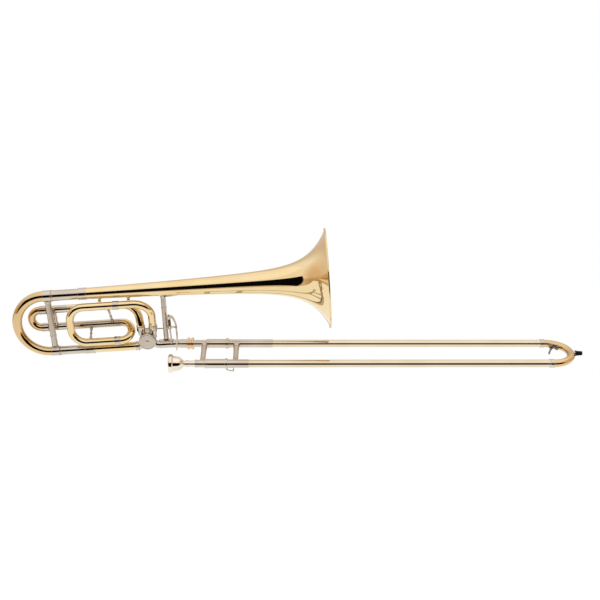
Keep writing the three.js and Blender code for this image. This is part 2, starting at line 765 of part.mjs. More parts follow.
add(bellSection, "neckpipe", neckpipe(), nickel);

function gripBrace() {
  const lean = (gripBraceTop - gripBraceFoot) / bellSpacing;
  const column = post([gripBraceFoot, 0, 0], [gripBraceFoot + lean * bellSpacing, 0, bellSpacing],
    flaredOutline(gripBraceRadius, gripBraceRadius, neckRadius, neckRadius, 1), tubeSides);
  const footTop = neckRadius + fitGap + gripPadThickness;
  const foot = box([gripFootFrom, -gripFootHalfWidth, 0], [gripFootTo, gripFootHalfWidth, footTop]);
  const padUnder = bellSpacing - bellRadius(rimAt - gripPadTo) - fitGap - gripPadThickness;
  const pad = box([gripPadFrom, -gripPadHalfWidth, padUnder], [gripPadTo, gripPadHalfWidth, bellSpacing]);
  const neck = clearance([gripBraceFoot, 0, 0], neckRadius, gripPadTo - gripFootFrom);
  return cut(joined(column, foot, pad), bellClearance(), neck);
}

add(bellSection, "grip_brace", gripBrace(), nickel);

const leverHole = leverPostRadius + fitGap;
add(bellSection, "lever_post", cut(
  post([leverAt, leverFront, 0], [leverAt, leverFront, leverPostTop],
    (length) => [[0, 0], [0, leverPostRadius], [length, leverPostRadius], [length, 0]]),
  clearance([leverAt, 0, 0], neckRadius, 10),
), nickel);
add(bellSection, "lever_spring",
  tube(leverLowKnuckle[1] + fitGap, leverTopKnuckle[0] - fitGap, leverSpringRadius, leverHole, postSides)
    .rotateY(-Math.PI / 2), steel, [leverAt, leverFront, 0]);

// A strip of even thickness along a curved line in x and z.
function strip(line, thickness, from, to) {
  const samples = 10;
  const curve = new THREE.SplineCurve(line.map(([x, z]) => new THREE.Vector2(x, z)));
  const side = (offset) => Array.from({ length: samples + 1 }, (_, index) => {
    const point = curve.getPoint(index / samples);
    const tangent = curve.getTangent(index / samples);
    return [point.x - offset * tangent.y, point.y + offset * tangent.x];
  });
  return plate([...side(thickness / 2), ...side(-thickness / 2).reverse()], from, to);
}

function thumbLever() {
  const knuckle = ([from, to]) => rod(from, to, leverKnuckleRadius, postSides)
    .rotateY(-Math.PI / 2).translate(leverAt, leverFront, 0);
  const lowMiddle = (leverLowKnuckle[0] + leverLowKnuckle[1]) / 2;
  const split = Math.round(paddleSplit * (paddleLine.length - 1));
  const upperPaddle = strip(paddleLine.slice(0, split + 2), paddleThickness, ...paddleUpperEdges);
  const lowerPaddle = strip(paddleLine.slice(split), paddleThickness, ...paddleLowerEdges);
  const web = box([leverAt, leverFront - 2, lowMiddle - 1.6],
    [paddleLine[split][0] + 0.8, leverFront + 2, lowMiddle + 1.6]);
  const endAt = [leverAt - linkThrow, linkPlane];
  const dropHeight = linkHeight + linkBallRadius + fitGap + 2;
  const arm = bent([
    [leverAt, leverFront, lowMiddle],
    [leverAt - linkThrow / 3, leverFront + (linkPlane - leverFront) / 3, lowMiddle, 4],
    [...endAt, dropHeight],
  ], 1.6, 0, postSides);
  const armEnd = rod(dropHeight - 2, dropHeight + 1.5, linkBallRadius + 0.6, postSides)
    .rotateY(-Math.PI / 2).translate(...endAt, 0);
  const hole = rod(0, 2 * leverPostTop, leverHole, postSides)
    .rotateY(-Math.PI / 2).translate(leverAt, leverFront, 0);
  const shape = joined(knuckle(leverLowKnuckle), knuckle(leverTopKnuckle), upperPaddle, lowerPaddle,
    web, arm, armEnd);
  return cut(shape, hole);
}

function linkRod() {
  const from = valveAt - linkThrow;
  const to = leverAt - linkThrow;
  const ball = () => new THREE.SphereGeometry(linkBallRadius, postSides, postSides / 2);
  return joined(rod(from, to, linkRadius, postSides).translate(0, linkPlane, linkHeight),
    ball().translate(from, linkPlane, linkHeight), ball().translate(to, linkPlane, linkHeight));
}

add(bellSection, "thumb_lever", thumbLever(), nickel);
add(bellSection, "link_rod", linkRod(), steel);

// ---- Hand slide ----

const handSlide = new THREE.Group();
handSlide.rotation.set(-slideTilt, 0, 0);
trombone.add(handSlide);

const lowerAxis = [0, 0, -slideSpacing];
const nutBore = receiverRadius + 2 * fitGap;
add(handSlide, "lock_nut", turned([
  [-nutHalfLength, nutBore], [-nutHalfLength, nutRadius], [nutFlange - nutHalfLength, nutRadius],
  [nutFlange - nutHalfLength, nutGrooveRadius], [nutHalfLength - nutFlange, nutGrooveRadius],
  [nutHalfLength - nutFlange, nutRadius], [nutHalfLength, nutRadius], [nutHalfLength, tenonBore],
  [nutHalfLength - nutLip, tenonBore], [nutHalfLength - nutLip, nutBore],
]), bronze);

const outerTubeBore = innerTubeRadius + fitGap;
const outerTubeRadius = outerTubeBore + outerTubeWall;
const barrelBore = barrelRadius - barrelWall;
const socketBore = innerTubeRadius + fitGap;

add(handSlide, "upper_cork_barrel", turned([
  [tenonFrom, slideBore], [tenonFrom, tenonRadius], [barrelFrom, tenonRadius], [barrelFrom + 1, barrelRadius],
  [barrelBeadFrom, barrelRadius], [barrelBeadFrom, barrelBeadRadius], [barrelTo, barrelBeadRadius],
  [barrelTo, barrelBore], [barrelSocketTo, barrelBore], [barrelSocketTo, socketBore],
  [barrelWeb, socketBore], [barrelWeb, slideBore],
]), nickel);
add(handSlide, "lower_cork_barrel", turned([
  [barrelFrom, receiverSleeveRadius + fitGap], [barrelFrom, barrelRadius], [barrelTo, barrelRadius],
  [barrelTo, barrelBore], [barrelSocketTo, barrelBore], [barrelSocketTo, socketBore],
  [barrelWeb, socketBore], [barrelWeb, slideBore], [barrelWeb - 1, slideBore],
  [barrelWeb - 1, receiverSleeveRadius + fitGap],
]), nickel, lowerAxis);
add(handSlide, "mouthpiece_receiver",
  tube(receiverSleeveFrom, barrelWeb - 1 - fitGap, receiverSleeveRadius, receiverSleeveBore), nickel, lowerAxis);

[["upper", 0], ["lower", -slideSpacing]].forEach(([side, z]) => {
  add(handSlide, `${side}_inner_tube`,
    tube(barrelWeb + fitGap, innerTubeTo, innerTubeRadius, slideBore), nickel, [0, 0, z]);
  add(handSlide, `${side}_outer_tube`,
    tube(outerTubeFrom, crookJointAt, outerTubeRadius, outerTubeBore), brass, [0, 0, z]);
  add(handSlide, `${side}_crook_ferrule`,
    tube(crookFerruleFrom, crookFerruleTo, around(outerTubeRadius) + ferruleWall, around(outerTubeRadius)),
    nickel, [0, 0, z]);
});

// A grip between the two sides of the slide, flared where it meets them.
function gripTube(at, upperRadius, lowerRadius, ...cutters) {
  const outline = flaredOutline(gripTubeRadius, gripFlareRadius, upperRadius + 1, lowerRadius + 1, gripFlareLength);
  const shape = post([at, 0, 0], [at, 0, -slideSpacing], outline, tubeSides);
  return cut(shape, ...cutters);
}

function barrelClearance(z) {
  return clearance([(barrelFrom + barrelTo) / 2, 0, z], barrelRadius, (barrelTo - barrelFrom) / 2 + fitGap);
}

add(handSlide, "inner_slide_brace", gripTube(innerBraceAt, tenonRadius, receiverSleeveRadius,
  clearance([innerBraceAt, 0, 0], tenonRadius, 20),
  clearance([innerBraceAt, 0, -slideSpacing], receiverSleeveRadius, 20),
  barrelClearance(0), barrelClearance(-slideSpacing)), nickel);

const sleeveBore = outerTubeRadius + fitGap;
const sleeveRadius = sleeveBore + sleeveWall;

// The outer brace is one piece with the sleeves that hold the outer tubes' ends. The lower sleeve
// carries the stud that the lock's hook catches.
function outerBrace() {
  const bore = (z) => clearance([sleeveFrom, 0, z], outerTubeRadius, upperSleeveTo);
  const sleeve = (to, z) => rod(sleeveFrom, to, sleeveRadius).translate(0, 0, z);
  const stud = rod(0, sleeveRadius + lockStudHeight, lockStudRadius, postSides).rotateY(Math.PI / 2)
    .translate(lockStudAt, 0, 0).rotateX(slideTilt + lockStudTurn).translate(...lowerAxis);
  const shape = joined(gripTube(outerBraceAt, sleeveRadius, sleeveRadius), sleeve(upperSleeveTo, 0),
    sleeve(lowerSleeveTo, -slideSpacing), stud);
  return cut(shape, bore(0), bore(-slideSpacing));
}

add(handSlide, "outer_slide_brace", outerBrace(), nickel);

// The lock ring turns on the lower barrel. Its hook hangs straight down, and when it is turned to the
// sleeve's stud it reaches over the stud and holds it.
function lockRing() {
  const bore = around(barrelRadius);
  const end = barrelTo + lockHookLength;
  const over = sleeveRadius + lockStudHeight + lockClearance;
  const behind = sleeveRadius + lockClearance;
  const catchFrom = lockStudAt + lockStudRadius + lockClearance;
  const hook = plate([
    [barrelTo - 2, -bore - 0.5], [barrelTo - 2, -over - 1.5], [catchFrom, -over - lockHookRise],
    [end, -over - lockHookRise + 2], [end, -behind], [catchFrom, -behind], [catchFrom, -over],
    [barrelTo + 1.5, -over], [barrelTo + 1.5, -bore - 0.5],
  ], -lockHookBar / 2, lockHookBar / 2);
  return joined(tube(barrelBeadFrom, barrelTo, lockRingRadius, bore), hook).rotateX(slideTilt);
}

add(handSlide, "slide_lock_ring", lockRing(), nickel, lowerAxis);

const slideBend = slideSpacing / 2;
const crookOutside = crookBendAt + slideBend + outerTubeRadius;
const slideCrookRoute = [
  [crookJointAt + fitGap, 0, 0],
  [crookBendAt + slideBend, 0, 0, slideBend],
  [crookBendAt + slideBend, 0, -slideSpacing, slideBend],
  [crookJointAt + fitGap, 0, -slideSpacing],
];
add(handSlide, "slide_crook", bent(slideCrookRoute, outerTubeRadius, outerTubeBore), amberBrass);

// Bumper: a rubber tip in a metal holder on the crook
const holderFrom = crookOutside - holderRadius / 2;
const bumperFrom = crookOutside + holderHeight;
const bumperTo = bumperFrom + bumperLength;
const bumperAxis = [0, 0, -slideBend];
const crookClearance = () => bent(slideCrookRoute, around(outerTubeRadius));
add(handSlide, "bumper_holder", cut(
  rod(holderFrom, bumperFrom - fitGap, holderRadius, postSides).translate(...bumperAxis), crookClearance(),
), nickel);
add(handSlide, "bumper", turned([
  [bumperFrom, 0], [bumperFrom, bumperFlangeRadius], [bumperFrom + 2, bumperFlangeRadius],
  [bumperFrom + 2.8, bumperRadius], [bumperTo - 3, bumperTipRadius], [bumperTo - 1, bumperTipRadius - 0.7],
  [bumperTo, bumperFlat], [bumperTo, 0],
], postSides), blackRubber, bumperAxis);

// ---- Water key ----
// Its own frame: x along the crook's bend, z towards the crook's wall, origin at the pivot.

const keyPivot = [
  crookBendAt + (slideBend - outerTubeRadius - keyPivotHeight) * Math.sin(keyAngle),
  0,
  -slideBend + (slideBend - outerTubeRadius - keyPivotHeight) * Math.cos(keyAngle),
];

function inKeyFrame(geometry) {
  return geometry.rotateY(keyAngle).translate(...keyPivot);
}

function waterKeySaddle() {
  const halfLength = keySaddleLength / 2;
  const halfWidth = keySaddleWidth / 2;
  const plateUnder = keyPivotHeight - keyPlate - 1;
  const base = inKeyFrame(box([-halfLength, -halfWidth, plateUnder], [halfLength, halfWidth, keyPivotHeight + 3]));
  const ear = (side) => inKeyFrame(box([-keyHubRadius, side - keyEar / 2, -keyHubRadius],
    [keyHubRadius, side + keyEar / 2, plateUnder + 0.5]));
  const pin = inKeyFrame(towardsY(rod(-halfWidth, halfWidth, keyPinRadius, postSides)));
  const nippleUnder = keyPivotHeight - 2 - keyNippleHeight;
  const nipple = inKeyFrame(rod(nippleUnder, keyPivotHeight, keyNippleRadius, postSides)
    .rotateY(-Math.PI / 2).translate(keyPadOffset, 0, 0));
  const shelf = inKeyFrame(box([0, -1.5, plateUnder], [keyPadOffset, 1.5, keyPivotHeight]));
  const shape = joined(base, ear(halfWidth), ear(-halfWidth), pin, nipple, shelf);
  return cut(shape, crookClearance());
}

function waterKey() {
  const hubHalf = keySaddleWidth / 2 - keyEar / 2 - fitGap;
  const hub = inKeyFrame(towardsY(rod(-hubHalf, hubHalf, keyHubRadius, postSides)));
  const padTop = keyPivotHeight - 2 - keyNippleHeight - fitGap;
  const cup = inKeyFrame(rod(-1, padTop, keyPadRadius, postSides)
    .rotateY(-Math.PI / 2).translate(keyPadOffset, 0, 0));
  const bar = inKeyFrame(box([0, -keyBar / 2, -1], [keyPadOffset, keyBar / 2, 1]));
  const [touchX, touchZ] = keyTouch;
  const touchEnd = [keyPivot[0] + touchX, 0, keyPivot[2] + touchZ];
  const arm = post(keyPivot, touchEnd, (length) => [[0, 0], [0, keyBar / 2], [length, keyBar / 2], [length, 0]]);
  const touch = box([-1, -3, -4.5], [1, 3, 1]).rotateY(Math.atan2(touchX, touchZ) + Math.PI)
    .translate(...touchEnd);
  const hole = inKeyFrame(towardsY(rod(-keySaddleWidth, keySaddleWidth, keyPinRadius + fitGap, postSides)));
  return cut(joined(hub, cup, bar, arm, touch), hole);
}

add(handSlide, "water_key_saddle", waterKeySaddle(), nickel);
add(handSlide, "water_key", waterKey(), nickel);

// ---- Mouthpiece ----

function mouthpiece() {
  const from = mouthpieceFrom;
  const cupBack = from + 24;
  const outside = [
    [from, mouthpieceCup + 2.5], [from + 0.6, mouthpieceRim - 1.6], [from + 2, mouthpieceRim],
    [from + 7, mouthpieceRim - 0.4], [from + 9, mouthpieceRim - 3.6], [from + 18, 13.6],
    [from + 23, 11.4], [from + 27, 8.4], [from + 30, 5.4], [from + 34, 5.4], [from + 36, 6.5],
    [from + 40, 6.5], [from + 42, 5.6], [receiverSleeveFrom, shankRadius], [mouthpieceTo, shankTipRadius],
  ];
  const inside = [
    [mouthpieceTo, 5.2], [cupBack + 3, 3.4], [cupBack, 3.6], [from + 17, 8.5], [from + 9, 11.6],
    [from + 2, mouthpieceCup], [from + 0.6, mouthpieceCup + 1],
  ];
  return turned([...outside, ...inside], valveSides);
}

add(handSlide, "mouthpiece", mouthpiece(), silver, lowerAxis);

export default trombone;
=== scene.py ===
"""A tenor trombone with an F attachment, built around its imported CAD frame.

Lengths are in metres. Pieces of the bell section and of the hand slide are modelled in their own
section's axes and end in the frame's. Round pieces are outlines of (distance, radius), spun about
x.
"""

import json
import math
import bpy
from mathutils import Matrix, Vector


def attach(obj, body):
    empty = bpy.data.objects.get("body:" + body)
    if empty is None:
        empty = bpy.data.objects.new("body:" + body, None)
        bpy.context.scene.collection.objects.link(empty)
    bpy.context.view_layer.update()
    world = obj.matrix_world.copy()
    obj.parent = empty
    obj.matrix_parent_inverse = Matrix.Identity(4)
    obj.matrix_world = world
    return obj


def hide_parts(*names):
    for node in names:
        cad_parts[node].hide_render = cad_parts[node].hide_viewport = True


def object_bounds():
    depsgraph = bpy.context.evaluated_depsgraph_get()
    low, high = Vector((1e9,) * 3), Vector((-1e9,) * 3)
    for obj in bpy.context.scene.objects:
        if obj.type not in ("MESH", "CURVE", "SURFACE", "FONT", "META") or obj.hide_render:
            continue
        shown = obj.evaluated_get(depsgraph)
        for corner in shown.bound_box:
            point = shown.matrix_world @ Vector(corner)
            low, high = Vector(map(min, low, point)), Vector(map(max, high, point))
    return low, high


bl_info = {
    "name": "Trombone",
    "version": (1, 0, 0),
    "blender": (4, 5, 0),
    "location": "View3D > Sidebar > Trombone",
    "description": "Builds a tenor trombone with an F attachment around its CAD frame",
    "category": "Mesh",
}

import bmesh
import bpy
from mathutils import Matrix, Vector

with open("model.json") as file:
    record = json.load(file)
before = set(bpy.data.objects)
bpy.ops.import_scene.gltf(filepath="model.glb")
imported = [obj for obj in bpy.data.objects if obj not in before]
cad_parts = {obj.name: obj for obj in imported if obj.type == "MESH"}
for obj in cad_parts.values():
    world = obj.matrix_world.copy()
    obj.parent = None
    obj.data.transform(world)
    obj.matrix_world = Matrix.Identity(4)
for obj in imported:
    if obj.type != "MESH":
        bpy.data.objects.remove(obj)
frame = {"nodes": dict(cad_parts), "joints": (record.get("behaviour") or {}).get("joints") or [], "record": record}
CAD_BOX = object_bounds()

MM = 0.001
JOINTS = {joint["name"]: joint for joint in frame["joints"]}
BODY_OF = {
    node: body
    for body, nodes in frame["record"]["behaviour"]["bodies"].items()
    for node in nodes
}
SLOT_OF = {part["node"]: part["material_slot"] for part in frame["record"]["subparts"]}
SATIN_NODES = {"valve_cap", "tuning_brace", "grip_brace", "inner_slide_brace", "outer_slide_brace"}
PALE_NODES = {"upper_outer_tube", "lower_outer_tube"}
# The water key and its saddle get a dark nickel silver that is painted shade: it stands in for the shaded
# reflection around them, not for tarnish.
PAINTED_SHADE_NODES = {"water_key_saddle", "water_key"}
X_AXIS = Vector((1, 0, 0))
Z_AXIS = Vector((0, 0, 1))
X_TO_Z = Matrix.Rotation(-math.pi / 2, 4, "Y")
MERGE = 1e-7
FERRULE_FIT = 0.02 * MM
BRACE_SINK = 0.8
SOFTENED_ANGLE = math.radians(28)
SHARP_ANGLE = math.radians(32)


# ---- Axes and boxes ----


def make_axes(origin, x, y):
    """The matrix from a section's own axes to the frame's."""
    x = x.normalized()
    z = x.cross(y).normalized()
    return Matrix.Translation(origin) @ Matrix((x, z.cross(x), z)).transposed().to_4x4()


def joint_axis(name):
    return Vector(JOINTS[name]["axis"])


class Span:
    """A CAD node's box, in the axes of its section."""

    def __init__(self, node, axes):
        inverse = axes.inverted()
        points = [inverse @ vertex.co for vertex in frame["nodes"][node].data.vertices]
        self.low = Vector([min(point[i] for point in points) for i in range(3)])
        self.high = Vector([max(point[i] for point in points) for i in range(3)])
        self.middle = (self.low + self.high) / 2
        self.radius = (self.high.z - self.low.z) / 2


# ---- Properties ----


def length(name, millimetres, description):
    """A length property, given in millimetres."""
    return bpy.props.FloatProperty(
        name=name, description=description, default=millimetres * MM, unit="LENGTH", precision=5
    )


def angle(name, degrees, description):
    """An angle property, given in degrees."""
    return bpy.props.FloatProperty(
        name=name, description=description, default=math.radians(degrees), subtype="ANGLE"
    )


def share(name, value, description):
    """A number from 0 to 1."""
    return bpy.props.FloatProperty(
        name=name, description=description, default=value, min=0, max=1, subtype="FACTOR"
    )


def colour(name, value, description):
    """A linear colour."""
    return bpy.props.FloatVectorProperty(
        name=name, description=description, default=value, size=3, min=0, max=1, subtype="COLOR"
    )


def count(name, value, description):
    """A whole number."""
    return bpy.props.IntProperty(name=name, description=description, default=value, min=3)


class TromboneMeshSizes(bpy.types.PropertyGroup):
    """How finely the pieces are modelled."""

    tube_sides: count("Tube sides", 48, "Flats round a tube")
    bell_sides: count("Bell sides", 160, "Flats round the bell")
    bend_steps: count("Bend steps", 14, "Steps in a quarter turn of tube")
    edge: length("Edge rounding", 0.18, "Width of the rounding on a sharp metal edge")


class TromboneBellSizes(bpy.types.PropertyGroup):
    """The bell's flare and its rim."""

    neck_bend: length("Neck bend", -38.9, "Where the neck bends, along the hand slide's axis")
    flare_share: share("Flare share", 0.69, "Share of the radius that dies away near the rim")
    flare_length: length("Flare length", 34.5, "How quickly the flare dies away")
    taper_length: length("Taper length", 832, "Length that the long taper runs over")
    taper_power: bpy.props.FloatProperty(
        name="Taper power", description="How strongly the long taper narrows", default=2.209
    )
    wall: length("Wall", 0.6, "Thickness of the bell's sheet")
    rim_bead: length("Rim bead", 1.7, "Radius of the wire rolled into the rim")
    rim_inset: length("Rim inset", 0.25, "How far the rim stays inside the packed one's corners")
    stations: count("Stations", 64, "Rings of the bell's mesh from tail to rim")


class TromboneTubeSizes(bpy.types.PropertyGroup):
    """Tubes, ferrules and rings of the bell section."""

    wall: length("Wall", 0.5, "Wall of a tube")
    band_wall: length("Ferrule wall", 0.95, "How far a ferrule stands out from its tube")
    band_bead: length("Ferrule bead", 0.4, "Height of the bead at each end of a ferrule")
    bead_width: length("Bead width", 1.3, "Width of that bead")
    ring_width: length("Leg ring width", 2.6, "Width of the ring at the end of an outer leg")
    ring_height: length("Leg ring height", 0.95, "Height of that ring")
    port_rise: length("Port rise", 7, "Straight tube above a valve port")
    port_bend: length("Port bend", 33, "Radius of the bend that carries a port's tube to the wrap")
    port_offset_bend: length("Port offset bend", 14, "Radius of the small bend above a port")
    outlet_lean: length("Outlet lean", 3.3, "How far the outlet tube leans to the bell")
    inlet_lean: length("Inlet lean", -5.8, "How far the inlet tube leans to the tuning slides")
    front_bend: length("Front crook bend", 30, "Radius of the front crook's two bends")


class TromboneValveSizes(bpy.types.PropertyGroup):
    """The rotary valve."""

    rotor_radius: length("Rotor radius", 12.7, "Radius of the rotor's drum")
    rotor_half_depth: length("Rotor half depth", 11, "Half the length of the drum")
    knuckle_radius: length("Knuckle radius", 7.6, "Outer radius of the casing's knuckles")
    knuckle_bend: length("Knuckle bend", 12, "Radius of a knuckle's bend")
    port_spread: length("Port spread", 12.15, "F ports to each side of the rotor's axis")
    hub_radius: length("Cap hub radius", 3.4, "Radius of the plain hub on the cap")
    cap_notches: count("Cap notches", 84, "Notches round the cap's edge")
    spindle_radius: length("Spindle radius", 2.6, "Radius of the rotor's spindle")


class TromboneLeverSizes(bpy.types.PropertyGroup):
    """The thumb lever, its post and its spring."""

    paddle: length("Paddle thickness", 2.1, "Thickness of the thumb paddle")
    wire: length("Spring wire", 0.55, "Radius of the spring's wire")
    turns: count("Spring turns", 8, "Turns of the thumb lever's spring")
    arm: length("Arm radius", 1.6, "Radius of the arm that drives the link")
    ball: length("Ball radius", 2.2, "Radius of the link's ball ends")


class TromboneSlideSizes(bpy.types.PropertyGroup):
    """The hand slide."""

    spacing: length("Spacing", 88.5, "Distance between the slide's two sides")
    tube_wall: length("Tube wall", 0.25, "Wall of the outer tubes")
    brace_radius: length("Brace radius", 5.3, "Radius of the two cross braces")
    brace_flare: length("Brace flare", 6.9, "Radius where a brace meets its tube")
    flare_run: length("Flare run", 8, "Length over which a brace flares")
    sleeve_lead: length("Sleeve lead", 1.7, "How far the sleeves reach past their packed ends")
    nut_notches: count("Nut notches", 40, "Notches round the lock nut's flanges")


class TromboneFinishes(bpy.types.PropertyGroup):
    """Colours and gloss of the finishes."""

    brass: colour("Brass", (0.82, 0.655, 0.38), "Lacquered yellow brass")
    brass_deep: colour("Deep brass", (0.78, 0.59, 0.30), "Yellow brass where it is warmer")
    pale_brass: colour("Pale brass", (0.75, 0.655, 0.50), "Thin brass of the slide's outer tubes")
    pale_brass_deep: colour("Deep pale brass", (0.71, 0.60, 0.43), "That brass where it is warmer")
    amber: colour("Amber brass", (0.715, 0.52, 0.275), "Lacquered gold brass")
    amber_deep: colour("Deep amber brass", (0.645, 0.44, 0.205), "Gold brass where it is warmer")
    nickel: colour("Nickel silver", (0.63, 0.56, 0.47), "Nickel silver under lacquer")
    nickel_deep: colour("Deep nickel silver", (0.55, 0.475, 0.39), "That metal where it is warmer")
    bronze: colour("Bronze", (0.85, 0.64, 0.42), "Polished bronze")
    bronze_deep: colour("Deep bronze", (0.70, 0.49, 0.30), "Bronze in its hollows")
    silver: colour("Silver", (0.84, 0.775, 0.66), "Polished silver plate")
    silver_deep: colour("Deep silver", (0.62, 0.54, 0.42), "Silver plate where it has toned")
    # Painted shade: a very dark nickel silver for the water key and its saddle, which stands in for their shaded
    # reflection rather than for metal that has darkened.
    painted_shade_nickel: colour("Toned nickel silver", (0.27, 0.21, 0.17), "Nickel silver that has darkened")
    painted_shade_nickel_deep: colour("Deep toned nickel silver", (0.16, 0.12, 0.10), "That metal in its hollows")
    steel: colour("Steel", (0.38, 0.28, 0.18), "Drawn steel wire")
    steel_deep: colour("Deep steel", (0.22, 0.14, 0.08), "Steel where it is oiled")
    rubber: colour("Rubber", (0.004, 0.004, 0.004), "Moulded black rubber")
    rubber_worn: colour("Worn rubber", (0.010, 0.009, 0.008), "Rubber where it is worn")
    gloss: share("Metal roughness", 0.022, "Roughness of the polished metal")
    satin: share("Satin roughness", 0.34, "Roughness of the brushed cap and braces")


class TromboneStudio(bpy.types.PropertyGroup):
    """The camera, the lamp overhead, the room and the floor."""

    camera_place: bpy.props.FloatVectorProperty(
        name="Camera place", description="Where the camera stands", size=3, subtype="TRANSLATION",
        default=(0.15986, -2.1937, 0.0068),
    )
    camera_pitch: angle("Camera pitch", 2.147, "How far the camera looks up")
    camera_yaw: angle("Camera yaw", 1.648, "How far the camera looks towards the slide's crook")
    lens: bpy.props.FloatProperty(
        name="Lens", description="Focal length in millimetres", default=64.27,
        subtype="DISTANCE_CAMERA",
    )
    floor_drop: length("Floor drop", 340, "How far the floor lies under the object")
    floor_front: length("Floor front", -520, "Where the floor ends before the object")
    floor_tone: share("Floor tone", 0.14, "How much light the floor throws back")
    floor_glow: share("Floor glow", 0.94, "How bright the floor shows to camera and gloss")
    band_top: angle("Dark band top", 11.5, "Upper edge of the dark band before the object")
    band_bottom: angle("Dark band bottom", -37, "Lower edge of that band")
    band_reach: angle("Dark band reach", 58.5, "How far the band goes round to each side")
    front_level: share("Front level", 1.0, "How bright the room is before the object and above it")
    back_level: share("Back level", 0.68, "How bright the room is behind the object")
    low_level: share("Low level", 0.72, "How bright the room is below the object")
    side_level: share("Side level", 0.78, "How bright the room is to the left and right")
    side_warmth: share("Side warmth", 0.42, "How warm the room is to the left and right")
    glow_level: bpy.props.FloatProperty(
        name="Glow level", description="How bright the room is above the object", default=1.06
    )
    warmth: share("Warmth", 0.27, "How warm the room's darker parts are")
    softbox_power: bpy.props.FloatProperty(
        name="Softbox power", description="Power of the lamp overhead", default=4, unit="POWER"
    )


SETTINGS = {
    "mesh": TromboneMeshSizes,
    "bell": TromboneBellSizes,
    "tubes": TromboneTubeSizes,
    "valve": TromboneValveSizes,
    "lever": TromboneLeverSizes,
    "slide": TromboneSlideSizes,
    "finishes": TromboneFinishes,
    "studio": TromboneStudio,
}


def settings(name):
    """One of the scene's groups of trombone settings."""
    return getattr(bpy.context.scene, "trombone_" + name)


def bell_axes():
    """x along the bell, y away from the front, z from the neck to the bell."""
    origin = Vector((settings("bell").neck_bend, 0, 0))
    return make_axes(origin, -joint_axis("main_tuning_pull"), joint_axis("rotor_turn"))


def slide_axes():
    """x along the hand slide, z from the mouthpiece's side to the neck's."""
    return make_axes(Vector(), X_AXIS, joint_axis("water_key_press"))


# ---- Shapes ----


def turned(outline, sides=None, soften=True):
    """Spins an outline about x. It closes on itself, or starts and ends on the axis."""
    bm = bmesh.new()
    corners = [bm.verts.new((at, 0, radius)) for at, radius in outline]
    on_axis = outline[0][1] == 0
    for first, second in zip(corners, corners[1:] + ([] if on_axis else corners[:1])):
        bm.edges.new((first, second))
    bmesh.ops.spin(
        bm, geom=bm.verts[:] + bm.edges[:], cent=(0, 0, 0), axis=X_AXIS, angle=2 * math.pi,
        steps=sides or settings("mesh").tube_sides, use_merge=True,
    )
    bmesh.ops.remove_doubles(bm, verts=bm.verts, dist=MERGE)
    bmesh.ops.recalc_face_normals(bm, faces=bm.faces)
    if soften:
        soften_edges(bm, settings("mesh").edge)
    return bm


def soften_edges(bm, width, limit=SOFTENED_ANGLE):
    """Rounds the edges that are sharper than limit."""
    sharp = [
        edge for edge in bm.edges
        if len(edge.link_faces) == 2 and edge.calc_face_angle(0) > limit
    ]
    bmesh.ops.bevel(
        bm, geom=sharp, offset=width, offset_type="OFFSET", affect="EDGES", segments=2,
        profile=0.5, material=-1, clamp_overlap=True,
    )


def tube(start, end, outer, inner, sides=None):
    return turned([(start, inner), (start, outer), (end, outer), (end, inner)], sides)


def rod(start, end, radius, sides=None):
    return turned([(start, 0), (start, radius), (end, radius), (end, 0)], sides)


def arc(centre, radius, start, end, steps=6):
    """Points of an arc in an outline; angles in degrees from the x axis."""
    points = []
    for step in range(steps + 1):
        turn = math.radians(start + (end - start) * step / steps)
        points.append((centre[0] + radius * math.cos(turn), centre[1] + radius * math.sin(turn)))
    return points


def curve_through(points, steps=5):
    """A smooth line through the points of an outline."""
    smooth = []
    ends = [points[0], *points, points[-1]]
    for before, first, second, after in zip(ends, ends[1:], ends[2:], ends[3:]):
        for step in range(steps):
            t = step / steps
            smooth.append(tuple(
                0.5 * (2 * b + (c - a) * t + (2 * a - 5 * b + 4 * c - d) * t * t
                       + (3 * b - a - 3 * c + d) * t ** 3)
                for a, b, c, d in zip(before, first, second, after)
            ))
    return [*smooth, points[-1]]


def placed(bm, matrix):
    bmesh.ops.transform(bm, matrix=matrix, verts=bm.verts)
    return bm


def towards(start, end):
    """The matrix that lays x along the way from start to end, with its origin at start."""
    start = Vector(start)
    turn = X_AXIS.rotation_difference(Vector(end) - start)
    return Matrix.Translation(start) @ turn.to_matrix().to_4x4()


def shift(x, y, z):
    return Matrix.Translation((x, y, z))


def joined(*parts):
    """One bmesh that holds the shells of several."""
    whole = parts[0]
    for part in parts[1:]:
        scratch = bpy.data.meshes.new("scratch")
        part.to_mesh(scratch)
        part.free()
        whole.from_mesh(scratch)
        bpy.data.meshes.remove(scratch)
    return whole


def post(start, end, outline, sides=None):
    """A turned post. outline(length) gives the outline for its length."""
    span = (Vector(end) - Vector(start)).length
    return placed(turned(outline(span), sides), towards(start, end))


def box(low, high, edge=None):
    bm = bmesh.new()
    bmesh.ops.create_cube(bm, size=1)
    size = Vector(high) - Vector(low)
    middle = (Vector(high) + Vector(low)) / 2
    placed(bm, Matrix.Translation(middle) @ Matrix.Diagonal((*size, 1)))
    soften_edges(bm, edge or settings("mesh").edge)
    return bm


def plate(points, start, end, edge=None):
    """A flat outline of (x, z) points, given thickness along y."""
    bm = bmesh.new()
    bm.faces.new([bm.verts.new((x, start, z)) for x, z in points])
    grown = bmesh.ops.extrude_face_region(bm, geom=bm.faces[:])["geom"]
    moved = [item for item in grown if isinstance(item, bmesh.types.BMVert)]
    bmesh.ops.translate(bm, verts=moved, vec=(0, end - start, 0))
    bmesh.ops.recalc_face_normals(bm, faces=bm.faces)
    soften_edges(bm, edge or settings("mesh").edge)
    return bm


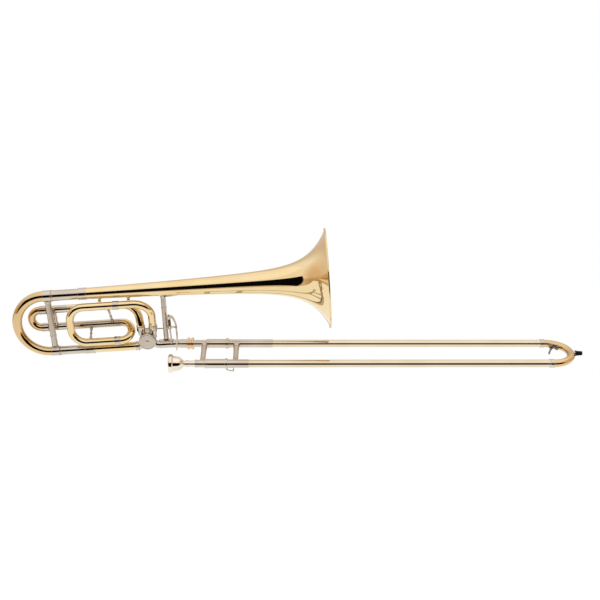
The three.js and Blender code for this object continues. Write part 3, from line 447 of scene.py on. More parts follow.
def pipe(corners, radius, wall=0, end_radius=None, sides=None):
    """A tube along straight stretches and round bends.

    A corner is (x, y, z) or (x, y, z, bend radius). With no wall it is a solid rod. The radius
    changes evenly along the bends to end_radius.
    """
    mesh_sizes = settings("mesh")
    points = [Vector(corner[:3]) for corner in corners]
    bm = bmesh.new()
    bmesh.ops.create_circle(bm, radius=radius, segments=sides or mesh_sizes.tube_sides)
    heading = (points[1] - points[0]).normalized()
    turn = Z_AXIS.rotation_difference(heading).to_matrix().to_4x4()
    placed(bm, Matrix.Translation(points[0]) @ turn)
    first_ring = bm.edges[:]
    ring = first_ring
    place = points[0]
    bends = []
    for before, corner, after, given in zip(points, points[1:], points[2:], corners[1:]):
        arriving = (corner - before).normalized()
        leaving = (after - corner).normalized()
        swing = arriving.angle(leaving)
        reach = given[3] * math.tan(swing / 2)
        inward = (leaving - arriving * leaving.dot(arriving)).normalized()
        start = corner - arriving * reach
        bends.append((start, start + inward * given[3], arriving.cross(leaving).normalized(),
                      swing, corner + leaving * reach))
    steps = [max(3, round(mesh_sizes.bend_steps * bend[3] / (math.pi / 2))) for bend in bends]
    growth = (((end_radius or radius) / radius) ** (1 / sum(steps))) if bends else 1
    for (start, centre, axis, swing, leave), step_count in zip(bends, steps):
        ring = extend(bm, ring, start - place)
        for _ in range(step_count):
            spun = bmesh.ops.spin(
                bm, geom=ring, cent=centre, axis=axis, angle=swing / step_count, steps=1,
            )["geom_last"]
            ring = [item for item in spun if isinstance(item, bmesh.types.BMEdge)]
            grow(bm, ring, growth)
        place = leave
    ring = extend(bm, ring, points[-1] - place)
    close_pipe(bm, first_ring, ring, wall)
    return bm


def extend(bm, ring, way):
    """Carries a ring of edges straight on, and gives the new ring."""
    if way.length < 1e-6:
        return ring
    grown = bmesh.ops.extrude_edge_only(bm, edges=ring)["geom"]
    moved = [item for item in grown if isinstance(item, bmesh.types.BMVert)]
    bmesh.ops.translate(bm, verts=moved, vec=way)
    return [item for item in grown if isinstance(item, bmesh.types.BMEdge)]


def grow(bm, ring, factor):
    if factor == 1:
        return
    corners = list({corner for edge in ring for corner in edge.verts})
    middle = sum((corner.co for corner in corners), Vector()) / len(corners)
    bmesh.ops.scale(
        bm, verts=corners, vec=(factor, factor, factor), space=Matrix.Translation(-middle)
    )


def close_pipe(bm, first_ring, last_ring, wall):
    """Gives a pipe its wall, or fills its two ends."""
    if wall == 0:
        for ring in (first_ring, last_ring):
            bmesh.ops.edgeloop_fill(bm, edges=ring)
    else:
        bm.normal_update()
        corner = first_ring[0].verts[0]
        corners = [vertex.co for edge in first_ring for vertex in edge.verts]
        outwards = corner.co - sum(corners, Vector()) / len(corners)
        if corner.link_faces[0].normal.dot(outwards) < 0:
            bmesh.ops.reverse_faces(bm, faces=bm.faces)
        bmesh.ops.solidify(bm, geom=bm.faces[:], thickness=wall)
    bmesh.ops.recalc_face_normals(bm, faces=bm.faces)


def coil(start, end, radius, wire, turns):
    """A helical spring about x."""
    bm = bmesh.new()
    bmesh.ops.create_circle(bm, cap_ends=True, radius=wire, segments=8)
    placed(bm, shift(start, 0, radius) @ Matrix.Rotation(math.pi / 2, 4, "X"))
    steps = 20 * turns
    bmesh.ops.spin(
        bm, geom=bm.faces[:], cent=(0, 0, 0), axis=X_AXIS, dvec=((end - start) / steps, 0, 0),
        angle=2 * math.pi * turns, steps=steps,
    )
    bmesh.ops.recalc_face_normals(bm, faces=bm.faces)
    return bm


def notched(bm, start, end, radius, depth):
    """Cuts a notch in each flat of a turned edge that lies between start and end at radius."""
    flats = []
    for face in bm.faces:
        middle = face.calc_center_median()
        level = math.hypot(middle.y, middle.z)
        outer = abs(level - radius) < 0.02 * radius and abs(face.normal.x) < 0.1
        if outer and start < middle.x < end:
            flats.append(face)
    bmesh.ops.inset_individual(bm, faces=flats, thickness=0.16 * MM, depth=-depth)
    return bm


def finished(name, bm, axes, *nodes, polished=False):
    """A piece from a bmesh: in its place, smooth, riding with the CAD nodes that it stands for."""
    placed(bm, axes)
    bmesh.ops.remove_doubles(bm, verts=bm.verts, dist=MERGE)
    for face in bm.faces:
        face.smooth = True
    for edge in bm.edges:
        edge.smooth = edge.calc_face_angle(0) < SHARP_ANGLE
    mesh = bpy.data.meshes.new(name)
    bm.to_mesh(mesh)
    bm.free()
    piece = bpy.data.objects.new(name, mesh)
    bpy.context.scene.collection.objects.link(piece)
    slot = SLOT_OF[nodes[0]]
    mesh.materials.append(material(slot, "" if polished else variant(nodes[0])))
    weighted = piece.modifiers.new("weighted normals", "WEIGHTED_NORMAL")
    weighted.keep_sharp = True
    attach(piece, BODY_OF[nodes[0]])
    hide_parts(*nodes)
    return piece


# ---- Finishes ----


def link(tree, start, start_socket, end, end_socket):
    tree.links.new(start.outputs[start_socket], end.inputs[end_socket])


def plug(tree, value, socket):
    """Links an output to a socket, or sets the socket to a plain value."""
    if isinstance(value, bpy.types.NodeSocket):
        tree.links.new(value, socket)
    else:
        socket.default_value = value


def math_node(tree, operation, *values):
    """The output of a Math node. Each value is an output or a number."""
    node = tree.nodes.new("ShaderNodeMath")
    node.operation = operation
    for socket, value in zip(node.inputs, values):
        plug(tree, value, socket)
    return node.outputs["Value"]


def handled_metal_group():
    """Colour, roughness and height of polished metal that has been handled."""
    name = "Handled metal"
    if name in bpy.data.node_groups:
        return bpy.data.node_groups[name]
    group = bpy.data.node_groups.new(name, "ShaderNodeTree")
    inputs = (
        ("Colour", "NodeSocketColor", (0.8, 0.8, 0.8, 1)),
        ("Deep Colour", "NodeSocketColor", (0.5, 0.5, 0.5, 1)),
        ("Cloud Scale", "NodeSocketFloat", 30), ("Scratch Scale", "NodeSocketFloat", 900),
        ("Roughness", "NodeSocketFloat", 0.1), ("Wear", "NodeSocketFloat", 0.05),
    )
    for socket_name, kind, value in inputs:
        socket = group.interface.new_socket(socket_name, in_out="INPUT", socket_type=kind)
        socket.default_value = value
    group.interface.new_socket("Colour", in_out="OUTPUT", socket_type="NodeSocketColor")
    group.interface.new_socket("Roughness", in_out="OUTPUT", socket_type="NodeSocketFloat")
    group.interface.new_socket("Height", in_out="OUTPUT", socket_type="NodeSocketFloat")
    nodes = group.nodes
    entry = nodes.new("NodeGroupInput")
    leave = nodes.new("NodeGroupOutput")
    place = nodes.new("ShaderNodeTexCoord")
    drawn = nodes.new("ShaderNodeMapping")
    drawn.inputs["Scale"].default_value = (0.04, 1, 1)
    clouds = nodes.new("ShaderNodeTexNoise")
    clouds.inputs["Detail"].default_value = 3
    scratches = nodes.new("ShaderNodeTexNoise")
    scratches.inputs["Detail"].default_value = 2
    spread = nodes.new("ShaderNodeMapRange")
    spread.inputs["From Min"].default_value = 0.38
    spread.inputs["From Max"].default_value = 0.72
    tint = nodes.new("ShaderNodeMix")
    tint.data_type = "RGBA"
    link(group, place, "Object", clouds, "Vector")
    link(group, place, "Object", drawn, "Vector")
    link(group, drawn, "Vector", scratches, "Vector")
    link(group, entry, "Cloud Scale", clouds, "Scale")
    link(group, entry, "Scratch Scale", scratches, "Scale")
    link(group, clouds, "Fac", spread, "Value")
    link(group, spread, "Result", tint, "Factor")
    link(group, entry, "Colour", tint, "A")
    link(group, entry, "Deep Colour", tint, "B")
    link(group, tint, "Result", leave, "Colour")
    worn = math_node(
        group, "MULTIPLY_ADD",
        scratches.outputs["Fac"], entry.outputs["Wear"], entry.outputs["Roughness"])
    plug(group, worn, leave.inputs["Roughness"])
    link(group, scratches, "Fac", leave, "Height")
    return group


def handled_material(name, bright, deep, roughness, metallic, coat):
    """A Principled material whose surface comes from the handled metal group."""
    made = bpy.data.materials.new(name)
    made.use_nodes = True
    tree = made.node_tree
    shader = tree.nodes["Principled BSDF"]
    surface = tree.nodes.new("ShaderNodeGroup")
    surface.node_tree = handled_metal_group()
    surface.inputs["Colour"].default_value = (*bright, 1)
    surface.inputs["Deep Colour"].default_value = (*deep, 1)
    surface.inputs["Roughness"].default_value = roughness
    surface.inputs["Wear"].default_value = 0.012
    surface.inputs["Cloud Scale"].default_value = 18
    relief = tree.nodes.new("ShaderNodeBump")
    relief.inputs["Strength"].default_value = 0.005
    relief.inputs["Distance"].default_value = 0.05 * MM
    link(tree, surface, "Colour", shader, "Base Color")
    link(tree, surface, "Roughness", shader, "Roughness")
    link(tree, surface, "Height", relief, "Height")
    link(tree, relief, "Normal", shader, "Normal")
    shader.inputs["Metallic"].default_value = metallic
    shader.inputs["Specular IOR Level"].default_value = 0.5 if metallic else 0.15
    shader.inputs["Coat Weight"].default_value = coat
    shader.inputs["Coat Roughness"].default_value = 0.04
    return made


def variant(node):
    """Which variant of its slot's finish a node has: satin, pale, painted shade, or the plain one."""
    kinds = {"satin_": SATIN_NODES, "pale_": PALE_NODES, "painted_shade_": PAINTED_SHADE_NODES}
    return next((kind for kind, nodes in kinds.items() if node in nodes), "")


def material(slot, kind=""):
    """The finish of a material slot of the record, made when it is first asked for."""
    name = "fine_" + kind + slot
    if name in bpy.data.materials:
        return bpy.data.materials[name]
    look = settings("finishes")
    recipes = {
        "brass": (look.brass, look.brass_deep, look.gloss, 1, 0.35),
        "amber_brass": (look.amber, look.amber_deep, look.gloss, 1, 0.35),
        "nickel_silver": (look.nickel, look.nickel_deep, look.gloss * 1.3, 1, 0.25),
        "bronze": (look.bronze, look.bronze_deep, look.gloss * 1.6, 1, 0.1),
        "silver_plate": (look.silver, look.silver_deep, look.gloss * 0.8, 1, 0),
        "steel": (look.steel, look.steel_deep, look.gloss * 2.5, 1, 0),
        "rubber": (look.rubber, look.rubber_worn, 0.5, 0, 0),
    }
    bright, deep, roughness, metallic, coat = recipes[slot]
    if kind == "satin_":
        roughness, coat = look.satin, 0
    if kind == "pale_":
        bright, deep = look.pale_brass, look.pale_brass_deep
    # The painted-shade variant darkens the water key's nickel silver to stand in for its shaded reflection.
    if kind == "painted_shade_":
        bright, deep = look.painted_shade_nickel, look.painted_shade_nickel_deep
    return handled_material(name, bright, deep, roughness, metallic, coat)


# ---- Bell section ----


def bell_radius(distance, rim):
    """Radius of the bell's wall at a distance from the rim."""
    sizes = settings("bell")
    flare = sizes.flare_share * math.exp(-distance / sizes.flare_length)
    run = sizes.taper_length
    taper = (1 - sizes.flare_share) * (run / (distance + run)) ** sizes.taper_power
    return rim * (flare + taper)


class TROMBONE_OT_bell(bpy.types.Operator):
    """Makes the bell, with its rim rolled over a wire"""

    bl_idname = "trombone.bell"
    bl_label = "Bell"

    def execute(self, context):
        sizes = settings("bell")
        axes = bell_axes()
        span = Span("bell", axes)
        rim = span.radius - sizes.rim_inset
        bead = sizes.rim_bead
        run = span.high.x - span.low.x
        outer = []
        inner = []
        for step in range(sizes.stations):
            distance = bead + (run - bead) * (1 - step / (sizes.stations - 1)) ** 2
            radius = bell_radius(distance, rim)
            slope = math.atan2(bell_radius(distance, rim) - bell_radius(distance + MM, rim), MM)
            at = span.high.x - distance
            outer.append((at, radius))
            inner.append((
                at + sizes.wall * math.sin(slope), radius - sizes.wall * math.cos(slope)))
        wire = arc((span.high.x - bead, rim - bead), bead, 190, -80, 14)
        bm = turned([*outer, *wire, *reversed(inner)], settings("mesh").bell_sides, soften=False)
        finished("fine_bell", bm, axes @ shift(0, 0, span.middle.z), "bell")
        return {"FINISHED"}


def half_round(start, width, level, height, steps):
    """The outline of a half-round ring, from start along x, on a tube whose radius is level."""
    turns = [math.pi * step / steps for step in range(steps + 1)]
    return [
        (start + width / 2 * (1 - math.cos(turn)), level + height * math.sin(turn))
        for turn in turns
    ]


def ringed_tube(start, end, outer):
    """An outer leg, with its ring at the end where the slide goes in."""
    sizes = settings("tubes")
    inner = outer - sizes.wall
    ring = half_round(start, sizes.ring_width, outer, sizes.ring_height, 8)
    return turned([(start, inner), *ring, (end, outer), (end, inner)])


def beaded(start, end, level):
    """The outline of a ferrule's outside, with a bead at each end."""
    sizes = settings("tubes")
    return [
        point
        for at in (start, end - sizes.bead_width)
        for point in half_round(at, sizes.bead_width, level, sizes.band_bead, 6)
    ]


def band(start, end, tube_radius):
    """A ferrule round a tube."""
    inner = tube_radius + FERRULE_FIT
    outside = beaded(start, end, inner + settings("tubes").band_wall)
    return turned([(start, inner), *outside, (end, inner)])


class TROMBONE_OT_straight_tubes(bpy.types.Operator):
    """Makes the outer legs and the straight tube to the valve"""

    bl_idname = "trombone.straight_tubes"
    bl_label = "Straight tubes"

    def execute(self, context):
        axes = bell_axes()
        for node in (
                "upper_outer_leg", "lower_outer_leg", "f_outer_leg_upper", "f_outer_leg_lower"):
            span = Span(node, axes)
            bm = ringed_tube(span.low.x, span.high.x, span.radius - settings("tubes").ring_height)
            finished("fine_" + node, bm, axes @ shift(0, span.middle.y, span.middle.z), node)
        span = Span("gooseneck_tube", axes)
        bm = tube(span.low.x, span.high.x, span.radius, span.radius - settings("tubes").wall)
        finished("fine_gooseneck_tube", bm, axes @ shift(0, 0, span.middle.z), "gooseneck_tube")
        return {"FINISHED"}


class TROMBONE_OT_ferrules(bpy.types.Operator):
    """Makes the ferrules that join the tubes of the bell section"""

    bl_idname = "trombone.ferrules"
    bl_label = "Ferrules"

    def execute(self, context):
        axes = bell_axes()
        sizes = settings("tubes")
        covered = {
            "bell_ferrule": "upper_outer_leg",
            "lower_leg_ferrule": "lower_outer_leg",
            "valve_inlet_ferrule": "gooseneck_tube",
            "upper_run_ferrule": "f_front_crook",
            "lower_run_ferrule": "f_front_crook",
        }
        wrap = wrap_radius(axes)
        for node, tube_node in covered.items():
            span = Span(node, axes)
            inner = wrap if tube_node == "f_front_crook" else Span(tube_node, axes).radius
            if tube_node.endswith("outer_leg"):
                inner -= sizes.ring_height
            if node == "bell_ferrule":
                bell = Span("bell", axes)
                inner = max(inner, bell_radius(bell.high.x - span.low.x, bell.radius))
            bm = band(span.low.x, span.high.x, inner)
            finished("fine_" + node, bm, axes @ shift(0, span.middle.y, span.middle.z), node)
        for node in ("right_port_ferrule", "left_port_ferrule"):
            span = Span(node, axes)
            bm = band(span.low.z, span.high.z, wrap)
            upright = shift(span.middle.x, span.middle.y, 0) @ X_TO_Z
            finished("fine_" + node, bm, axes @ upright, node)
        return {"FINISHED"}


def wrap_radius(axes):
    """Outer radius of the F attachment's tubes."""
    return Span("f_outer_leg_upper", axes).radius - settings("tubes").ring_height


class TROMBONE_OT_wrap(bpy.types.Operator):
    """Makes the bent tubes of the F attachment"""

    bl_idname = "trombone.wrap"
    bl_label = "F wrap"

    def execute(self, context):
        axes = bell_axes()
        sizes = settings("tubes")
        radius = wrap_radius(axes)
        upper = Span("upper_run_ferrule", axes).middle
        lower = Span("lower_run_ferrule", axes).middle
        back_upper = Span("f_outer_leg_upper", axes).middle
        back_lower = Span("f_outer_leg_lower", axes).middle
        back_end = Span("f_outer_leg_lower", axes).high.x
        right = Span("right_port_ferrule", axes)
        left = Span("left_port_ferrule", axes).middle
        far = Span("f_front_crook", axes).low.x + radius
        turn = Span("f_return_crook", axes).high.x - radius
        return_bend = math.hypot(lower.y - back_lower.y, lower.z - back_lower.z) / 2
        rise = right.high.z + sizes.port_rise / 2

        def from_port(port, lean, run, end):
            return [tuple(port), (port.x, port.y, rise, sizes.port_offset_bend),
                    (port.x + lean, run.y, run.z, sizes.port_bend), (end, run.y, run.z)]

        inlet_end = Span("f_outer_leg_upper", axes).high.x
        routes = {
            "f_outlet_bend": from_port(right.middle, sizes.outlet_lean, upper, upper.x),
            "f_inlet_bend": from_port(left, sizes.inlet_lean, back_upper, inlet_end),
            "f_front_crook": [
                tuple(upper), (far, upper.y, upper.z, sizes.front_bend),
                (far, lower.y, lower.z, sizes.front_bend), tuple(lower)],
            "f_return_crook": [
                tuple(lower), (turn, lower.y, lower.z, return_bend),
                (turn, back_lower.y, back_lower.z, return_bend),
                (back_end, back_lower.y, back_lower.z)],
        }
        for node, corners in routes.items():
            finished("fine_" + node, pipe(corners, radius, sizes.wall), axes, node)
        return {"FINISHED"}


def slide_leg(node, axes, crook_radius):
    """An inner leg and the ferrule that holds the crook's end."""
    span = Span(node, axes)
    sizes = settings("tubes")
    middle = span.middle
    inverse = axes.inverted()
    level = {}
    for vertex in frame["nodes"][node].data.vertices:
        point = inverse @ vertex.co
        radius = math.hypot(point.y - middle.y, point.z - middle.z)
        station = round(point.x, 5)
        level[station] = max(level.get(station, 0), radius)
    leg = min(level.values())
    joint = max(at for at, radius in level.items() if radius > span.radius * 0.98)
    shoulder = joint - 2 * sizes.bead_width
    inner = leg - sizes.wall
    socket = crook_radius + FERRULE_FIT
    bm = turned([
        (span.low.x, socket), *beaded(span.low.x, joint, crook_radius + sizes.band_wall),
        (joint, leg), (span.high.x, leg), (span.high.x, inner), (shoulder, inner),
        (shoulder, socket),
    ])
    finished("fine_" + node, bm, axes @ shift(0, middle.y, middle.z), node)


class TROMBONE_OT_tuning_slides(bpy.types.Operator):
    """Makes the main tuning slide and the F tuning slide"""

    bl_idname = "trombone.tuning_slides"
    bl_label = "Tuning slides"

    def execute(self, context):
        axes = bell_axes()
        wall = settings("tubes").wall
        self.crook("tuning_crook", "tuning_upper_leg", "tuning_lower_leg", axes, wall)
        self.crook("f_crook", "f_slide_upper_leg", "f_slide_lower_leg", axes, wall)
        upper = Span("tuning_upper_leg", axes)
        lower = Span("tuning_lower_leg", axes)
        at = Span("tuning_brace", axes).middle.x
        outline = brace_outline(6 * MM, 7.4 * MM, upper.radius, lower.radius, joint=0.74)
        bm = post((at, 0, upper.middle.z), (at, 0, lower.middle.z), outline)
        finished("fine_tuning_brace", bm, axes, "tuning_brace")
        return {"FINISHED"}

    def crook(self, node, upper_node, lower_node, axes, wall):
        span = Span(node, axes)
        upper = Span(upper_node, axes)
        lower = Span(lower_node, axes)
        start_radius = span.high.z - upper.middle.z
        end_radius = lower.middle.z - span.low.z
        bend = (upper.middle.z - lower.middle.z) / 2
        turn = upper.low.x - bend
        y = upper.middle.y
        route = [
            (span.high.x, y, upper.middle.z), (turn, y, upper.middle.z, bend),
            (turn, y, lower.middle.z, bend), (span.high.x, y, lower.middle.z)]
        finished("fine_" + node, pipe(route, start_radius, wall, end_radius), axes, node)
        slide_leg(upper_node, axes, start_radius)
        slide_leg(lower_node, axes, end_radius)


# ---- Braces ----


def brace_outline(radius, foot, start_tube, end_tube, joint=None, flare=3 * MM):
    """The outline of a brace between two tubes, flared at both ends, with a ring at its joint."""
    lip = 0.4 * MM
    ring = radius + 0.7 * MM
    cove = [
        (lip + flare * math.sin(turn), radius + (foot - radius) * (1 - math.sin(turn)))
        for turn in (math.pi / 2 * step / 6 for step in range(1, 7))
    ]

    def outline(run):
        start = start_tube * BRACE_SINK
        end = run - end_tube * BRACE_SINK
        points = [(start, 0), (start, foot), (start_tube + lip, foot)]
        points += [(start_tube + reach, level) for reach, level in cove]
        if joint:
            at = start + (end - start) * joint
            points += [(at - 1.6 * MM, radius), (at - 1.2 * MM, ring), (at + 1.2 * MM, ring),
                       (at + 1.6 * MM, radius)]
        points += [(run - end_tube - reach, level) for reach, level in reversed(cove)]
        return [*points, (run - end_tube - lip, foot), (end, foot), (end, 0)]

    return outline


def turned_post_outline(waist, foot, knob, start_tube, end_tube, at):
    """The outline of a small turned post: two tapering feet that meet at a knob.

    The knob is at a share, at, of its length.
    """
    lip = 0.3 * MM
    collar = 0.5 * MM
    taper = 0.6 * MM

    def outline(run):
        start = start_tube + lip
        end = run - end_tube - lip
        middle = start + (end - start) * at
        turns = [math.radians(step) for step in range(155, 24, -13)]
        ball = [(middle + knob * math.cos(turn), knob * math.sin(turn)) for turn in turns]
        near = start_tube * BRACE_SINK
        far = run - end_tube * BRACE_SINK
        return [
            (near, 0), (near, foot), (start, foot), (start + taper, foot * 0.8),
            (middle - knob - collar, waist), (middle - knob, waist), *ball,
            (middle + knob, waist), (middle + knob + collar, waist), (end - taper, foot * 0.8),
            (end, foot), (far, foot), (far, 0)]

    return outline


class TROMBONE_OT_braces(bpy.types.Operator):
    """Makes the braces of the F attachment"""

    bl_idname = "trombone.braces"
    bl_label = "Wrap braces"

    def execute(self, context):
        axes = bell_axes()
        radius = wrap_radius(axes)
        front_upper = Span("upper_run_ferrule", axes).middle
        front_lower = Span("lower_run_ferrule", axes).middle
        back_upper = Span("f_outer_leg_upper", axes).middle
        back_lower = Span("f_outer_leg_lower", axes).middle
        at = Span("f_leg_brace", axes).middle.x
        bm = post((at, back_upper.y, back_upper.z), (at, back_lower.y, back_lower.z),
                  brace_outline(4.2 * MM, 5.4 * MM, radius, radius, 0.5, 2 * MM))
        finished("fine_f_leg_brace", bm, axes, "f_leg_brace")
        ends = {
            "wrap_brace_upper": (front_upper, back_lower, 0.62),
            "wrap_brace_lower": (back_lower, front_lower, 0.5),
        }
        for node, (start, end, knob_at) in ends.items():
            at = Span(node, axes).middle.x
            bm = post((at, start.y, start.z), (at, end.y, end.z),
                      turned_post_outline(1.7 * MM, 4.3 * MM, 2.9 * MM, radius, radius, knob_at))
            finished("fine_" + node, bm, axes, node)
        bell = Span("bell", axes)
        for node in ("bell_wrap_brace_1", "bell_wrap_brace_2"):
            at = Span(node, axes).middle.x
            bell_side = bell_radius(bell.high.x - at, bell.radius)
            bm = post((at, 0, bell.middle.z), (at, front_upper.y, front_upper.z),
                      turned_post_outline(2.0 * MM, 4.2 * MM, 3.3 * MM, bell_side, radius, 0.45))
            finished("fine_" + node, bm, axes, node)
        return {"FINISHED"}


# ---- Rotary valve ----


def valve_axes():
    """x along the rotor, to the back; z still away from the neck; origin in its middle."""
    section = bell_axes()
    pivot = Vector(JOINTS["rotor_turn"]["pos_m"])
    along = joint_axis("rotor_turn")
    up = section.to_3x3() @ Z_AXIS
    return make_axes(pivot, along, up.cross(along))


class TROMBONE_OT_valve(bpy.types.Operator):
    """Makes the valve's casing, cap, plates, rotor and stop arm"""

    bl_idname = "trombone.valve"
    bl_label = "Rotary valve"

    def execute(self, context):
        self.section = bell_axes()
        self.axes = valve_axes()
        self.sizes = settings("valve")
        self.pivot = self.section.inverted() @ Vector(JOINTS["rotor_turn"]["pos_m"])
        self.casing()
        self.cap()
        self.back()
        self.rotor()
        self.stop_arm()
        return {"FINISHED"}

    def depth(self, node):
        """Where a node starts and ends along the rotor's axis, and its radius."""
        span = Span(node, self.section)
        radius = (span.high.x - span.low.x) / 2
        return span.low.y - self.pivot.y, span.high.y - self.pivot.y, radius

    def casing(self):
        sizes = self.sizes
        start, end, _ = self.depth("valve_casing")
        radius = self.casing_radius()
        bore = sizes.rotor_radius + 0.3 * MM
        rim = 0.7 * MM
        body = turned([
            (start, bore), (start, radius), (end - 4 * MM, radius), (end - 4 * MM, radius + rim),
            (end - 0.6 * MM, radius + rim), (end, radius + rim / 2), (end, bore),
        ], 96)
        placed(body, self.axes)
        lift = self.pivot.z
        centre = self.pivot.x
        start_at = sizes.rotor_radius * 0.9 * math.sqrt(0.5)
        reach = centre - Span("valve_inlet_ferrule", self.section).middle.x
        top = Span("right_port_ferrule", self.section).middle.z
        spread = sizes.port_spread
        knuckles = []
        for side in (-1, 1):
            routes = (
                [(centre + side * start_at, 0, lift - start_at),
                 (centre + side * lift, 0, 0, sizes.knuckle_bend), (centre + side * reach, 0, 0)],
                [(centre + side * start_at, 0, lift + start_at),
                 (centre + side * spread, 0, lift + spread, sizes.knuckle_bend),
                 (centre + side * spread, 0, top)],
            )
            for route in routes:
                knuckles.append(placed(pipe(route, sizes.knuckle_radius, 0.6 * MM), self.section))
        finished("fine_valve_casing", joined(body, *knuckles), Matrix.Identity(4), "valve_casing")

    def casing_radius(self):
        """The casing's radius, which the cap's skirt goes round."""
        _, _, cap = self.depth("valve_cap")
        return cap - 1.8 * MM

    def cap(self):
        start, end, radius = self.depth("valve_cap")
        hub = self.sizes.hub_radius
        face = start + 0.8 * MM
        inside = self.casing_radius() + 0.1 * MM
        groove = face + 0.25 * MM
        ring = [
            (face, hub + 0.8 * MM), (face, radius - 3.2 * MM), (face, radius - 2.6 * MM),
            (groove, radius - 2.3 * MM), (groove, radius - 2.0 * MM), (face, radius - 1.7 * MM)]
        bm = turned([
            (start, 0), (start, hub - 0.6 * MM), (start + 0.3 * MM, hub), (face, hub + 0.1 * MM),
            *ring, (face, radius - 0.9 * MM), (face + 0.9 * MM, radius), (end, radius),
            (end, inside), (face + 2 * MM, inside), (face + 2 * MM, 0),
        ], self.sizes.cap_notches)
        notched(bm, face + MM, end, radius, 0.3 * MM)
        finished("fine_valve_cap", bm, self.axes, "valve_cap")

    def back(self):
        start, end, radius = self.depth("valve_back_plate")
        spindle = self.sizes.spindle_radius
        bm = tube(start, end, radius, spindle + 0.3 * MM, 96)
        finished("fine_valve_back_plate", bm, self.axes, "valve_back_plate")
        start, end, _ = self.depth("cork_plate")
        radius = Span("cork_plate", self.section).high.x - self.pivot.x
        plate_end = start + 1.4 * MM
        bm = turned([
            (start, spindle + 0.3 * MM), (start, radius), (plate_end, radius), (plate_end, 5 * MM),
            (plate_end + 0.5 * MM, 4.4 * MM), (plate_end + 0.5 * MM, spindle + 0.3 * MM)], 72)
        cork_reach = 7.5 * MM
        corks = []
        for turn in (math.radians(-11.7), math.radians(11.7)):
            cork = turned([(plate_end, 0), (plate_end, 2 * MM), (end - 0.4 * MM, 2 * MM),
                           (end, 1.5 * MM), (end, 0)], 24)
            corks.append(placed(
                cork, shift(0, -cork_reach * math.sin(turn), -cork_reach * math.cos(turn))))
        finished("fine_cork_plate", joined(bm, *corks), self.axes, "cork_plate")

    def rotor(self):
        _, end, _ = self.depth("rotor")
        half = self.sizes.rotor_half_depth
        radius = self.sizes.rotor_radius
        spindle = self.sizes.spindle_radius
        groove = 0.5 * MM
        bm = turned([
            (-half, 0), (-half, radius), (-half / 2, radius), (-half / 2, radius - groove),
            (half / 2, radius - groove), (half / 2, radius), (half, radius), (half, spindle),
            (end - 0.4 * MM, spindle), (end, spindle - 0.4 * MM), (end, 0)], 72)
        finished("fine_rotor", bm, self.axes, "rotor")

    def stop_arm(self):
        start, end, _ = self.depth("stop_arm")
        reach = 10 * MM
        bar = box((start, -2 * MM, -9 * MM), (end, 2 * MM, reach), 0.4 * MM)
        hub = tube(start - 0.1 * MM, end + 0.1 * MM, 5 * MM, 2.9 * MM, 48)
        tip = placed(rod(start - 0.1 * MM, end + 0.1 * MM, 3 * MM, 40), shift(0, 0, reach))
        arm = placed(joined(bar, hub, tip), Matrix.Rotation(math.radians(-45), 4, "X"))
        finished("fine_stop_arm", arm, self.axes, "stop_arm")


# ---- Neck, hand grip and thumb lever ----


def slide_point(distance):
    """A point on the hand slide's axis, in the bell section's axes."""
    return bell_axes().inverted() @ Vector((distance, 0, 0))


class TROMBONE_OT_neck(bpy.types.Operator):
    """Makes the neckpipe with the receiver of the hand slide"""

    bl_idname = "trombone.neck"
    bl_label = "Neckpipe"

    def execute(self, context):
        section = bell_axes()
        end = max(vertex.co.x for vertex in frame["nodes"]["neckpipe"].data.vertices)
        start = Span("neckpipe", section).low.x
        radius = Span("gooseneck_tube", section).radius - 0.3 * MM
        joint = -16.3 * MM
        route = [(start, 0, 0), (0, 0, 0, 50 * MM), tuple(slide_point(joint))]
        neck = placed(pipe(route, radius, 0.4 * MM), section)
        collar = -20 * MM
        bore = 7.7 * MM
        receiver = turned([
            (collar, radius), (collar, radius + 0.9 * MM), (collar + 1.4 * MM, radius + 0.9 * MM),
            (collar + 1.8 * MM, radius + 0.5 * MM), (-9 * MM, radius + 0.5 * MM),
            (-8.6 * MM, radius + 0.8 * MM), (end, radius + 0.6 * MM), (end, bore), (joint, bore),
            (joint, radius)])
        finished("fine_neckpipe", joined(neck, receiver), Matrix.Identity(4), "neckpipe")
        return {"FINISHED"}


def saddle(radius, half_length, half_width, thickness, side):
    """A rounded pad bent round a tube along x: over it if side is 1, under it if side is -1."""
    bm = bmesh.new()
    bmesh.ops.create_grid(bm, x_segments=24, y_segments=16, size=1)
    for corner in bm.verts:
        u, v = corner.co.x, corner.co.y
        corner.co.x = half_length * u * math.sqrt(1 - 0.35 * v * v)
        corner.co.y = half_width * v * math.sqrt(1 - 0.35 * u * u)
        turn = corner.co.y / radius
        corner.co.y = radius * math.sin(turn)
        corner.co.z = side * radius * math.cos(turn)
    bmesh.ops.recalc_face_normals(bm, faces=bm.faces)
    bm.normal_update()
    if sum(face.normal.z * side for face in bm.faces) < 0:
        bmesh.ops.reverse_faces(bm, faces=bm.faces)
    bmesh.ops.solidify(bm, geom=bm.faces[:], thickness=-thickness)
    bmesh.ops.recalc_face_normals(bm, faces=bm.faces)
    soften_edges(bm, 0.25 * MM, math.radians(60))
    return bm


